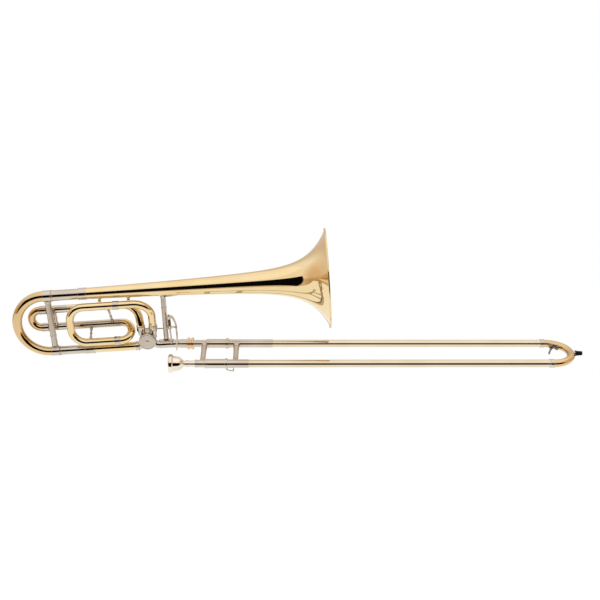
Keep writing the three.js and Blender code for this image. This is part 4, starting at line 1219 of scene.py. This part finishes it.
class TROMBONE_OT_grip_brace(bpy.types.Operator):
    """Makes the brace from the bell to the neck that the left hand holds"""

    bl_idname = "trombone.grip_brace"
    bl_label = "Bell brace"

    def execute(self, context):
        section = bell_axes()
        bell = Span("bell", section)
        foot_x = -9.9 * MM
        top_x = -5.7 * MM
        neck_radius = Span("gooseneck_tube", section).radius - 0.3 * MM
        bell_here = bell_radius(bell.high.x - top_x, bell.radius)
        column = post((foot_x, 0, 0), (top_x, 0, bell.middle.z),
                      brace_outline(5 * MM, 6.8 * MM, neck_radius, bell_here, 0.72, 5 * MM))
        fit = 0.1 * MM
        foot = saddle(neck_radius + fit, 15 * MM, 6.2 * MM, 1.4 * MM, 1)
        placed(foot, shift(-10 * MM, 0, 0))
        pad = saddle(bell_here + fit, 17.5 * MM, 7.5 * MM, 1.3 * MM, -1)
        run = 20 * MM
        bell_further = bell_radius(bell.high.x - top_x - run, bell.radius)
        lean = math.atan((bell_further - bell_here) / run)
        placed(pad, shift(8.5 * MM, 0, bell.middle.z) @ Matrix.Rotation(-lean, 4, "Y"))
        finished("fine_grip_brace", joined(column, foot, pad), section, "grip_brace")
        return {"FINISHED"}


class TROMBONE_OT_thumb_lever(bpy.types.Operator):
    """Makes the thumb lever, its post and spring, and the link to the valve"""

    bl_idname = "trombone.thumb_lever"
    bl_label = "Thumb lever"

    def execute(self, context):
        section = bell_axes()
        sizes = settings("lever")
        post_span = Span("lever_post", section)
        at = Span("lever_spring", section)
        x, y = at.middle.x, at.middle.y
        pin = 1.7 * MM
        bottom = Span("gooseneck_tube", section).radius - 4.5 * MM
        top = post_span.high.z
        upright = shift(x, y, 0) @ X_TO_Z
        pin_post = turned([
            (bottom, 0), (bottom, 3 * MM), (bottom + 5 * MM, 2.6 * MM), (bottom + 7 * MM, pin),
            (top - 1.6 * MM, pin), (top - 1.2 * MM, pin), (top, pin - 0.6 * MM), (top, 0)], 32)
        finished("fine_lever_post", placed(pin_post, upright), section, "lever_post")
        wire = sizes.wire
        spring = coil(at.low.z + wire, at.high.z - wire, 2.8 * MM, wire, sizes.turns)
        finished("fine_lever_spring", placed(spring, upright), section, "lever_spring")
        self.lever(section, x, y, upright, at)
        self.link(section)
        return {"FINISHED"}

    def lever(self, section, x, y, upright, spring):
        sizes = settings("lever")
        low_knuckle = (spring.low.z - 7.3 * MM, spring.low.z - 0.3 * MM)
        top_knuckle = (spring.high.z + 0.3 * MM, spring.high.z + 6.8 * MM)
        knuckles = [
            placed(tube(*ends, 3.3 * MM, 1.95 * MM, 32), upright)
            for ends in (low_knuckle, top_knuckle)
        ]
        line = [(1.5, 63.6), (7, 61.5), (11, 53), (13.4, 42), (13.8, 30), (12.6, 12), (10, -7)]
        path = curve_through([(along * MM, up * MM) for along, up in line], 6)
        cut_at = 18
        upper = self.strip(path[:cut_at + 4], sizes.paddle, -13 * MM, -2.6 * MM, 0.55)
        lower = self.strip(path[cut_at:], sizes.paddle, -21 * MM, -9.8 * MM, 0.75)
        middle = sum(low_knuckle) / 2
        wide, deep = 2 * MM, 1.6 * MM
        web = box((x, y - wide, middle - deep), (13.6 * MM, y + wide, middle + deep), 0.5 * MM)
        pivot = section.inverted() @ Vector(JOINTS["link_pivot"]["pos_m"])
        drop = pivot.z + 4.5 * MM
        arm = pipe([(x, y, middle), (x + (pivot.x - x) / 3, y + (pivot.y - y) / 3, middle, 4 * MM),
                    (pivot.x, pivot.y, drop)], sizes.arm, sides=20)
        socket = placed(rod(drop - 2 * MM, drop + 1.5 * MM, sizes.ball + 0.6 * MM, 32),
                        shift(pivot.x, pivot.y, 0) @ X_TO_Z)
        bm = joined(*knuckles, upper, lower, web, arm, socket)
        finished("fine_thumb_lever", bm, section, "thumb_lever")

    def strip(self, path, thickness, low, high, narrowing):
        """A bent strip along a line in x and z, between two y edges, narrower at its free end."""
        bm = bmesh.new()
        middle = (low + high) / 2
        half = (high - low) / 2
        rows = []
        across = (-1, -0.7, -0.35, 0, 0.35, 0.7, 1)
        for index, (x, z) in enumerate(path):
            t = index / (len(path) - 1)
            width = half * (1 - (1 - narrowing) * t ** 3)
            rows.append([bm.verts.new((x, middle + width * v, z)) for v in across])
        for near, far in zip(rows, rows[1:]):
            for a, b, c, d in zip(near, near[1:], far[1:], far):
                bm.faces.new((a, b, c, d))
        bm.normal_update()
        bmesh.ops.solidify(bm, geom=bm.faces[:], thickness=thickness)
        bmesh.ops.recalc_face_normals(bm, faces=bm.faces)
        soften_edges(bm, 0.4 * MM, math.radians(50))
        return bm

    def link(self, section):
        sizes = settings("lever")
        span = Span("link_rod", section)
        ball = sizes.ball
        start, end = span.low.x + ball, span.high.x - ball
        neck = 2.6 * MM
        rod_radius = 1.2 * MM
        outline = [
            (span.low.x, 0), *arc((start, 0), ball, 180, 30, 8)[1:], (start + neck, rod_radius),
            (end - neck, rod_radius), *arc((end, 0), ball, 150, 0, 8)[:-1], (span.high.x, 0)]
        bm = turned(outline, 24, soften=False)
        finished("fine_link_rod", bm, section @ shift(0, span.middle.y, span.middle.z), "link_rod")


# ---- Hand slide ----


def side_axes(side):
    """The axes of one side of the hand slide: 0 for the neck's side, 1 for the mouthpiece's."""
    return slide_axes() @ shift(0, 0, -side * settings("slide").spacing)


class TROMBONE_OT_slide_ends(bpy.types.Operator):
    """Makes the barrels, the mouthpiece receiver, the lock nut and the slide's lock"""

    bl_idname = "trombone.slide_ends"
    bl_label = "Barrels and lock"

    def execute(self, context):
        upper = side_axes(0)
        lower = side_axes(1)
        self.barrel("upper_cork_barrel", upper, True)
        self.barrel("lower_cork_barrel", lower, False)
        span = Span("mouthpiece_receiver", lower)
        start, end, radius = span.low.x, span.high.x, span.radius
        collar = radius + 0.7 * MM
        bm = turned([
            (start, radius - MM), (start, collar), (start + 1.6 * MM, collar),
            (start + 2.2 * MM, radius), (end, radius), (end, radius - MM)])
        finished("fine_mouthpiece_receiver", bm, lower, "mouthpiece_receiver")
        self.nut(upper)
        self.lock(lower)
        return {"FINISHED"}

    def barrel(self, node, axes, tenon):
        span = Span(node, axes)
        body, bead, start, shoulder = 9.15 * MM, 10.75 * MM, 33 * MM, 71.3 * MM
        end = span.high.x
        bore, socket, hole = 8.2 * MM, 7.2 * MM, 6.8 * MM
        mouth = 7.9 * MM
        cork_stop, socket_end = 40 * MM, 37 * MM
        lip = [(start - 0.6 * MM, 8.6 * MM),
               *arc((start + 0.6 * MM, body - 0.6 * MM), 0.9 * MM, 170, 90, 4)]
        ring = [(start + 3.2 * MM, body), (start + 3.6 * MM, body + 0.35 * MM),
                (start + 5.0 * MM, body + 0.35 * MM), (start + 5.4 * MM, body)]
        inside = [(end, bore), (cork_stop, bore), (cork_stop, socket), (socket_end, socket),
                  (socket_end, hole)]
        if tenon:
            first = [(span.low.x, hole), (span.low.x, 7.4 * MM), (start - MM, 7.4 * MM)]
            tail = [(shoulder - 0.4 * MM, body), (shoulder, bead), (end - 0.8 * MM, bead),
                    (end, bead - 0.6 * MM)]
            last = []
        else:
            first = [(start, mouth)]
            tail = [(end - 0.3 * MM, body), (end, body - 0.3 * MM)]
            last = [(socket_end - MM, hole), (socket_end - MM, mouth)]
        outline = [*first, *lip, *ring, *tail, *inside, *last]
        finished("fine_" + node, turned(outline, 64), axes, node)

    def nut(self, axes):
        span = Span("lock_nut", axes)
        half, radius = span.high.x, 12.5 * MM
        flange, groove, bore, hole = 4 * MM, 10.6 * MM, 9.7 * MM, 7.6 * MM
        cove = 1.1 * MM
        edge = 0.8 * MM
        bm = turned([
            (-half, bore), (-half, radius - edge), (edge - half, radius),
            (flange - half - edge, radius), (flange - half, radius - edge),
            *arc((flange - half + cove, groove + cove), cove, 180, 270, 5)[1:],
            *arc((half - flange - cove, groove + cove), cove, 270, 360, 5)[:-1],
            (half - flange, radius - edge), (half - flange + edge, radius),
            (half - edge, radius), (half, radius - edge), (half, hole), (half - flange, hole),
            (half - flange, bore)], settings("slide").nut_notches * 2)
        finished("fine_lock_nut", bm, axes, "lock_nut")

    def lock(self, axes):
        upright = slide_axes().to_3x3().inverted() @ Vector((0, 0, -1))
        turn = math.atan2(-upright.y, -upright.z)
        start, end, radius, bore = 73.3 * MM, 78 * MM, 10.75 * MM, 9.45 * MM
        ring = turned([
            (start, bore), (start, radius - 0.4 * MM), (start + 0.5 * MM, radius),
            (end - 0.5 * MM, radius), (end, radius - 0.4 * MM), (end, bore)], 64)
        corners = ((75.6, -9.8, 0), (78.6, -12.6, 2.6), (91.2, -15.2, 2.7), (89.6, -9.2, 0))
        path = [(x * MM, 0, z * MM, bend * MM) for x, z, bend in corners]
        hook = pipe(path, 1.05 * MM, sides=20)
        root = box((75.4 * MM, -1.3 * MM, -11.6 * MM), (77.8 * MM, 1.3 * MM, -9.9 * MM), 0.4 * MM)
        bm = placed(joined(ring, hook, root), Matrix.Rotation(-turn, 4, "X"))
        finished("fine_slide_lock_ring", bm, axes, "slide_lock_ring")


class TROMBONE_OT_slide_tubes(bpy.types.Operator):
    """Makes the hand slide's inner and outer tubes, its crook and their ferrules"""

    bl_idname = "trombone.slide_tubes"
    bl_label = "Slide tubes"

    def execute(self, context):
        wall = settings("slide").tube_wall
        for index, side in enumerate(("upper", "lower")):
            axes = side_axes(index)
            inner = Span(side + "_inner_tube", axes)
            bore = 6.8 * MM
            thin = inner.radius - 0.1 * MM
            stocking = inner.high.x - 130 * MM
            bm = turned([
                (inner.low.x, bore), (inner.low.x, thin), (stocking, thin),
                (stocking + MM, inner.radius), (inner.high.x, inner.radius), (inner.high.x, bore),
            ], 64)
            finished(f"fine_{side}_inner_tube", bm, axes, side + "_inner_tube")
            outer = Span(side + "_outer_tube", axes)
            bm = tube(outer.low.x, outer.high.x, outer.radius, outer.radius - wall, 64)
            finished(f"fine_{side}_outer_tube", bm, axes, side + "_outer_tube")
            ferrule = Span(side + "_crook_ferrule", axes)
            bm = band(ferrule.low.x, ferrule.high.x, outer.radius)
            finished(f"fine_{side}_crook_ferrule", bm, axes, side + "_crook_ferrule")
        axes = slide_axes()
        outer = Span("upper_outer_tube", axes)
        crook = Span("slide_crook", axes)
        spacing = settings("slide").spacing
        turn = crook.high.x - outer.radius
        bend = spacing / 2
        corners = [(crook.low.x, 0, 0), (turn, 0, 0, bend), (turn, 0, -spacing, bend),
                   (crook.low.x, 0, -spacing)]
        bm = pipe(corners, outer.radius, wall, sides=64)
        finished("fine_slide_crook", bm, axes, "slide_crook")
        return {"FINISHED"}


class TROMBONE_OT_slide_braces(bpy.types.Operator):
    """Makes the two braces of the hand slide, with the outer tubes' sleeves and the lock's stud"""

    bl_idname = "trombone.slide_braces"
    bl_label = "Slide braces"

    def execute(self, context):
        sizes = settings("slide")
        axes = slide_axes()
        spacing = sizes.spacing
        flare = sizes.flare_run
        joint = 0.24
        inner_at, outer_at, stud_at = 28.4 * MM, 93.3 * MM, 86 * MM
        outline = brace_outline(
            sizes.brace_radius, 6.2 * MM, 7.4 * MM, 7.6 * MM, joint, flare)
        bm = post((inner_at, 0, 0), (inner_at, 0, -spacing), outline)
        finished("fine_inner_slide_brace", bm, axes, "inner_slide_brace")
        outer = Span("upper_outer_tube", axes).radius
        sleeve = outer + 0.7 * MM
        outline = brace_outline(
            sizes.brace_radius, sizes.brace_flare, sleeve, sleeve, joint, flare)
        brace = post((outer_at, 0, 0), (outer_at, 0, -spacing), outline)
        sleeves = []
        span = Span("outer_slide_brace", axes)
        start = span.low.x - sizes.sleeve_lead
        short_end = 119.6 * MM
        for end, z in ((span.high.x, 0), (short_end, -spacing)):
            outline = [(start, outer), (start, sleeve), (end - 0.4 * MM, sleeve),
                       (end, sleeve - 0.3 * MM), (end, outer)]
            sleeves.append(placed(turned(outline, 64), shift(0, 0, z)))
        upright = axes.to_3x3().inverted() @ Vector((0, 0, -1))
        turn = math.atan2(upright.y, -upright.z) + math.radians(60)
        stud = rod(outer, sleeve + 3 * MM, 1.5 * MM, 24)
        placed(stud, Matrix.Rotation(math.pi / 2, 4, "Y"))
        placed(stud, shift(stud_at, 0, -spacing) @ Matrix.Rotation(turn, 4, "X"))
        finished("fine_outer_slide_brace", brace, axes, "outer_slide_brace")
        polished_part = joined(*sleeves, stud)
        finished("fine_outer_sleeves", polished_part, axes, "outer_slide_brace", polished=True)
        return {"FINISHED"}


class TROMBONE_OT_bumper(bpy.types.Operator):
    """Makes the rubber bumper on the slide's crook, and its holder"""

    bl_idname = "trombone.bumper"
    bl_label = "Bumper"

    def execute(self, context):
        axes = slide_axes() @ shift(0, 0, -settings("slide").spacing / 2)
        holder = Span("bumper_holder", axes)
        span = Span("bumper", axes)
        start, end = span.low.x, span.high.x
        bm = turned([
            (holder.low.x, 0), (holder.low.x, 4.2 * MM), (start - 0.9 * MM, 4.2 * MM),
            (start - 0.7 * MM, 4.5 * MM), (start, 4.5 * MM), (start, 0)], 48)
        finished("fine_bumper_holder", bm, axes, "bumper_holder")
        groove = 0.25 * MM
        body = [(start + 2.0 * MM, 5.8 * MM), (start + 2.5 * MM, 5.2 * MM)]
        for step in range(3):
            at = start + (4 + 2.6 * step) * MM
            level = (4.9 - 0.2 * step) * MM
            body += [(at, level), (at + 0.3 * MM, level - groove), (at + 0.8 * MM, level - groove),
                     (at + 1.1 * MM, level)]
        tip = arc((end - 1.9 * MM, 2.4 * MM), 1.9 * MM, 80, 0, 6)
        foot = [(start, 0), (start, 5.6 * MM), (start + 0.3 * MM, 5.8 * MM)]
        bm = turned([*foot, *body, *tip, (end, 0)], 48)
        finished("fine_bumper", bm, axes, "bumper")
        return {"FINISHED"}


class TROMBONE_OT_water_key(bpy.types.Operator):
    """Makes the water key, its saddle and its spring"""

    bl_idname = "trombone.water_key"
    bl_label = "Water key"

    pad_at = 11 * MM
    to_y = Matrix.Rotation(math.pi / 2, 4, "Z")
    to_z = Matrix.Translation((pad_at, 0, 0)) @ X_TO_Z

    def execute(self, context):
        section = slide_axes()
        local = section.inverted() @ Vector(JOINTS["water_key_press"]["pos_m"])
        bend = settings("slide").spacing / 2
        tube_radius = Span("upper_outer_tube", section).radius
        centre = Vector((
            Span("slide_crook", section).high.x - tube_radius - bend, 0, -bend))
        outward = (local - centre).normalized()
        turn = math.atan2(outward.x, outward.z)
        self.local = local
        self.key = section @ Matrix.Translation(local) @ Matrix.Rotation(turn, 4, "Y")
        self.wall = bend - tube_radius - (local - centre).length
        self.saddle()
        self.lever(section)
        return {"FINISHED"}

    def saddle(self):
        wall = self.wall
        half = 4 * MM
        base = box(
            (-6.5 * MM, -half, wall - 3 * MM), (10.5 * MM, half, wall + 0.6 * MM), 0.5 * MM)
        ear_foot = wall - 1.6 * MM
        outline = [(-2.6 * MM, 0), (-1.9 * MM, -1.9 * MM), (0, -2.7 * MM), (1.9 * MM, -1.9 * MM),
                   (2.6 * MM, 0), (3.2 * MM, ear_foot), (-3.2 * MM, ear_foot)]
        ears = [
            plate(outline, middle - 0.75 * MM, middle + 0.75 * MM, 0.25 * MM)
            for middle in (-half, half)
        ]
        pin = placed(turned([
            (-5 * MM, 0), (-5 * MM, 1.9 * MM), (-4.4 * MM, 2.1 * MM), (-4.2 * MM, 1.3 * MM),
            (5 * MM, 1.3 * MM), (5 * MM, 0)], 24), self.to_y)
        hole, neck = 1.6 * MM, 2.8 * MM
        nipple = placed(turned([
            (wall - 5 * MM, hole), (wall - 5 * MM, neck), (wall - 4.4 * MM, neck),
            (wall - 2.6 * MM, neck), (wall - 1.2 * MM, 4.2 * MM), (wall - 0.6 * MM, 4.6 * MM),
            (wall - 0.6 * MM, hole)], 36), self.to_z)
        bm = joined(base, *ears, pin, nipple)
        # The saddle and the key are finished in a dark nickel silver that is painted shade: it stands in for their
        # shaded reflection, not for tarnish.
        finished("fine_water_key_saddle", bm, self.key, "water_key_saddle")

    def lever(self, section):
        hub = placed(tube(-3 * MM, 3 * MM, 2.6 * MM, 1.6 * MM, 32), self.to_y)
        springs = [
            placed(coil(side - 1.1 * MM, side + 1.1 * MM, 3.0 * MM, 0.32 * MM, 3), self.to_y)
            for side in (-1.7 * MM, 1.7 * MM)
        ]
        pad_top = self.wall - 5.3 * MM
        brim = pad_top - 0.8 * MM
        cup = placed(turned([
            (-1.6 * MM, 0), (-1.6 * MM, 2 * MM), (-1.0 * MM, 3.4 * MM), (0, 4 * MM),
            (brim, 4 * MM), (brim, 3.6 * MM), (pad_top, 3.5 * MM), (pad_top, 0)], 40), self.to_z)
        bar = box((0, -1.4 * MM, -MM), (self.pad_at, 1.4 * MM, MM), 0.5 * MM)
        parts = [placed(part, self.key) for part in (hub, *springs, cup, bar)]
        end = self.local + Vector((-10.5 * MM, 0, -26 * MM))
        span = (end - self.local).length
        arm = placed(turned([
            (0, 0), (0, 2.2 * MM), (span * 0.5, 1.8 * MM), (span - 4 * MM, 1.8 * MM),
            (span, 2.1 * MM), (span, 0)], 24), towards(self.local, end))
        flat = bmesh.new()
        bmesh.ops.create_uvsphere(flat, u_segments=32, v_segments=16, radius=1)
        placed(flat, Matrix.Diagonal((4.8 * MM, 3.4 * MM, 1.0 * MM, 1)))
        placed(flat, towards(self.local, end) @ shift(span - MM, 0, 0))
        parts += [placed(arm, section), placed(flat, section)]
        finished("fine_water_key", joined(*parts), Matrix.Identity(4), "water_key")


class TROMBONE_OT_mouthpiece(bpy.types.Operator):
    """Makes the mouthpiece"""

    bl_idname = "trombone.mouthpiece"
    bl_label = "Mouthpiece"

    def execute(self, context):
        axes = side_axes(1)
        span = Span("mouthpiece", axes)
        start = span.low.x
        rim = span.radius - 0.2 * MM

        def at(millimetres, radius):
            return (start + millimetres * MM, radius * MM)

        cup_edge = 12.7 * MM
        curl = 3.0 * MM
        rim_round = arc((start + curl, (cup_edge + rim) / 2), curl, 235, 125, 12)
        wide = rim / MM
        outside = [at(2.4, wide - 0.1), at(7.4, wide - 0.15), at(8.2, wide - 0.9),
                   at(8.6, wide - 2.4)]
        cup = curve_through([
            at(9.2, 15.3), at(14, 14.6), at(19, 13.6), at(23, 11.9), at(26.5, 9.2), at(29, 6.6),
            at(31, 5.7), at(33.6, 5.5)], 4)
        bead = [at(34.2, 5.6), at(34.6, 6.3), at(35.6, 6.75), at(38.6, 6.75), at(39.6, 6.3),
                at(40.0, 5.9)]
        shank = [at(42, 5.75), (span.high.x - 32 * MM, 6.2 * MM), (span.high.x, 5.7 * MM)]
        inside = curve_through([
            (span.high.x, 5.2 * MM), at(60, 4.6), at(36, 3.7), at(28, 3.3), at(25, 3.7),
            at(21, 6.2), at(15, 9.6), at(8, 11.8), at(3, 12.6), at(1.2, 13.2)], 4)
        outline = [*rim_round, *outside, *cup, *bead, *shank, *inside[:-1]]
        bm = turned(outline, 96, soften=False)
        finished("fine_mouthpiece", bm, axes, "mouthpiece")
        return {"FINISHED"}


# ---- Stage ----


class TROMBONE_OT_camera(bpy.types.Operator):
    """Sets up the camera"""

    bl_idname = "trombone.camera"
    bl_label = "Camera"

    def execute(self, context):
        studio = settings("studio")
        camera = bpy.data.objects.new("camera", bpy.data.cameras.new("camera"))
        camera.data.lens = studio.lens
        camera.data.clip_end = 50
        camera.location = studio.camera_place
        camera.rotation_euler = (math.pi / 2 + studio.camera_pitch, 0, -studio.camera_yaw)
        context.scene.collection.objects.link(camera)
        context.scene.camera = camera
        context.scene.view_settings.view_transform = "Standard"
        return {"FINISHED"}


def seen_white(tree):
    """A value that is 1 for rays from the camera, from gloss and through glass."""
    path = tree.nodes.new("ShaderNodeLightPath")
    seen = math_node(tree, "MAXIMUM", path.outputs["Is Camera Ray"], path.outputs["Is Glossy Ray"])
    return math_node(tree, "MAXIMUM", seen, path.outputs["Is Transmission Ray"])


class TROMBONE_OT_stage(bpy.types.Operator):
    """Makes the floor, the lamp overhead and the white room with its dark band before the object"""

    bl_idname = "trombone.stage"
    bl_label = "Stage"

    def execute(self, context):
        studio = settings("studio")
        self.floor(studio)
        self.lamp("softbox", (0.3, -0.5, 1.7), (0, 0, 0), (3.6, 2.6), studio.softbox_power)
        self.room(context, studio)
        return {"FINISHED"}

    def floor(self, studio):
        bm = bmesh.new()
        bmesh.ops.create_grid(bm, x_segments=2, y_segments=2, size=1)
        half_width, half_depth = 4, 2.5
        height = CAD_BOX[0][2] - studio.floor_drop
        placed(bm, shift(0.35, studio.floor_front + half_depth, height)
               @ Matrix.Diagonal((half_width, half_depth, 1, 1)))
        mesh = bpy.data.meshes.new("floor")
        bm.to_mesh(mesh)
        bm.free()
        floor = bpy.data.objects.new("floor", mesh)
        bpy.context.scene.collection.objects.link(floor)
        paint = bpy.data.materials.new("floor")
        paint.use_nodes = True
        tree = paint.node_tree
        shader = tree.nodes["Principled BSDF"]
        shader.inputs["Base Color"].default_value = (*[studio.floor_tone] * 3, 1)
        shader.inputs["Roughness"].default_value = 0.9
        shader.inputs["Specular IOR Level"].default_value = 0
        shader.inputs["Emission Color"].default_value = (1, 1, 1, 1)
        glow = math_node(tree, "MULTIPLY", seen_white(tree), studio.floor_glow)
        plug(tree, glow, shader.inputs["Emission Strength"])
        mesh.materials.append(paint)

    def lamp(self, name, place, aim, size, power):
        data = bpy.data.lights.new(name, "AREA")
        data.shape = "RECTANGLE"
        data.size, data.size_y = size
        data.energy = power
        lamp = bpy.data.objects.new(name, data)
        lamp.location = place
        lamp.rotation_euler = (Vector(aim) - Vector(place)).to_track_quat("-Z", "Y").to_euler()
        bpy.context.scene.collection.objects.link(lamp)

    def room(self, context, studio):
        world = bpy.data.worlds.new("room")
        context.scene.world = world
        world.use_nodes = True
        tree = world.node_tree
        new = tree.nodes.new
        tree.nodes.clear()
        place = new("ShaderNodeTexCoord")
        parts = new("ShaderNodeSeparateXYZ")
        link(tree, place, "Generated", parts, "Vector")
        x, y, z = (parts.outputs[axis] for axis in "XYZ")
        before = (studio.front_level, studio.warmth / 4)
        behind = (studio.back_level, studio.warmth)
        below = (studio.low_level, studio.warmth)
        above = (studio.glow_level, 0)
        aside = (studio.side_level, studio.side_warmth)
        backdrop = self.ramp(tree, y, (
            (-1, *before), (0.3, *before), (0.75, *behind), (0.97, *behind),
            (1, studio.back_level * 0.6, studio.warmth)))
        height = self.ramp(tree, z, (
            (-1, *below), (-0.1, *below), (0.04, *above), (0.9, *above),
            (1, studio.glow_level * 0.9, 0)))
        sides = self.ramp(tree, x, (
            (-1, *aside), (-0.97, *aside), (-0.8, 1, 0), (0.6, 1, 0), (0.85, *aside), (1, *aside)))
        walls = self.mixed(tree, "MULTIPLY", 1, backdrop, height)
        walls = self.mixed(tree, "MULTIPLY", 1, walls, sides)
        front = self.step(tree, y, -math.cos(studio.band_reach), 0.02, -1)
        under = self.step(tree, z, math.sin(studio.band_top), 0.006, -1)
        over = self.step(tree, z, math.sin(studio.band_bottom), 0.006, 1)
        band_mask = math_node(tree, "MULTIPLY", math_node(tree, "MULTIPLY", under, over), front)
        near_black = (0.004, 0.003, 0.003, 1)
        shown = self.mixed(tree, "MIX", band_mask, walls, near_black)
        lit = new("ShaderNodeBackground")
        plug(tree, shown, lit.inputs["Color"])
        white = new("ShaderNodeBackground")
        white.inputs["Color"].default_value = (1, 1, 1, 1)
        path = new("ShaderNodeLightPath")
        clear = math_node(
            tree, "MAXIMUM", path.outputs["Is Camera Ray"], path.outputs["Is Transmission Ray"])
        mix = new("ShaderNodeMixShader")
        plug(tree, clear, mix.inputs["Fac"])
        plug(tree, lit.outputs["Background"], mix.inputs[1])
        plug(tree, white.outputs["Background"], mix.inputs[2])
        link(tree, mix, "Shader", new("ShaderNodeOutputWorld"), "Surface")

    def ramp(self, tree, value, stops):
        """A colour that follows a value from -1 to 1, by stops of (value, level, warmth)."""
        spread = tree.nodes.new("ShaderNodeMapRange")
        spread.inputs["From Min"].default_value = -1
        spread.inputs["From Max"].default_value = 1
        tree.links.new(value, spread.inputs["Value"])
        ramp = tree.nodes.new("ShaderNodeValToRGB")
        link(tree, spread, "Result", ramp, "Fac")
        elements = ramp.color_ramp.elements
        for _ in stops[2:]:
            elements.new(0.5)
        for element, (at, level, warmth) in zip(elements, stops):
            element.position = (at + 1) / 2
            element.color = (level, level * (1 - 0.5 * warmth), level * (1 - warmth), 1)
        return ramp.outputs["Color"]

    def step(self, tree, value, edge, soft, way):
        """A mask that is 1 on one side of an edge: above it if way is 1, below it if way is -1."""
        mask = tree.nodes.new("ShaderNodeMapRange")
        mask.inputs["From Min"].default_value = edge - way * soft
        mask.inputs["From Max"].default_value = edge + way * soft
        tree.links.new(value, mask.inputs["Value"])
        return mask.outputs["Result"]

    def mixed(self, tree, blend, factor, first, second):
        """Two colours mixed; each may be an output or a plain colour."""
        mix = tree.nodes.new("ShaderNodeMix")
        mix.data_type = "RGBA"
        mix.blend_type = blend
        for socket, value in (("Factor", factor), ("A", first), ("B", second)):
            plug(tree, value, mix.inputs[socket])
        return mix.outputs["Result"]


# ---- Add-on ----


STEPS = (
    TROMBONE_OT_camera, TROMBONE_OT_bell, TROMBONE_OT_straight_tubes, TROMBONE_OT_ferrules,
    TROMBONE_OT_wrap, TROMBONE_OT_tuning_slides, TROMBONE_OT_braces, TROMBONE_OT_valve,
    TROMBONE_OT_neck, TROMBONE_OT_grip_brace, TROMBONE_OT_thumb_lever, TROMBONE_OT_slide_ends,
    TROMBONE_OT_slide_tubes, TROMBONE_OT_slide_braces, TROMBONE_OT_bumper, TROMBONE_OT_water_key,
    TROMBONE_OT_mouthpiece, TROMBONE_OT_stage,
)


class TROMBONE_PT_panel(bpy.types.Panel):
    """Lists the sizes and the steps that build the trombone"""

    bl_idname = "TROMBONE_PT_panel"
    bl_label = "Trombone"
    bl_space_type = "VIEW_3D"
    bl_region_type = "UI"
    bl_category = "Trombone"

    def draw(self, context):
        layout = self.layout
        for name, group in SETTINGS.items():
            box_layout = layout.box()
            box_layout.label(text=name.capitalize())
            for field in group.__annotations__:
                box_layout.prop(settings(name), field)
        for step in STEPS:
            layout.operator(step.bl_idname)


def register():
    for name, group in SETTINGS.items():
        bpy.utils.register_class(group)
        setattr(bpy.types.Scene, "trombone_" + name, bpy.props.PointerProperty(type=group))
    for step in STEPS:
        bpy.utils.register_class(step)
    bpy.utils.register_class(TROMBONE_PT_panel)


def unregister():
    bpy.utils.unregister_class(TROMBONE_PT_panel)
    for step in reversed(STEPS):
        bpy.utils.unregister_class(step)
    for name, group in SETTINGS.items():
        delattr(bpy.types.Scene, "trombone_" + name)
        bpy.utils.unregister_class(group)


def main():
    register()
    for step in STEPS:
        section, name = step.bl_idname.split(".")
        getattr(getattr(bpy.ops, section), name)()


if __name__ == "__main__":
    main()
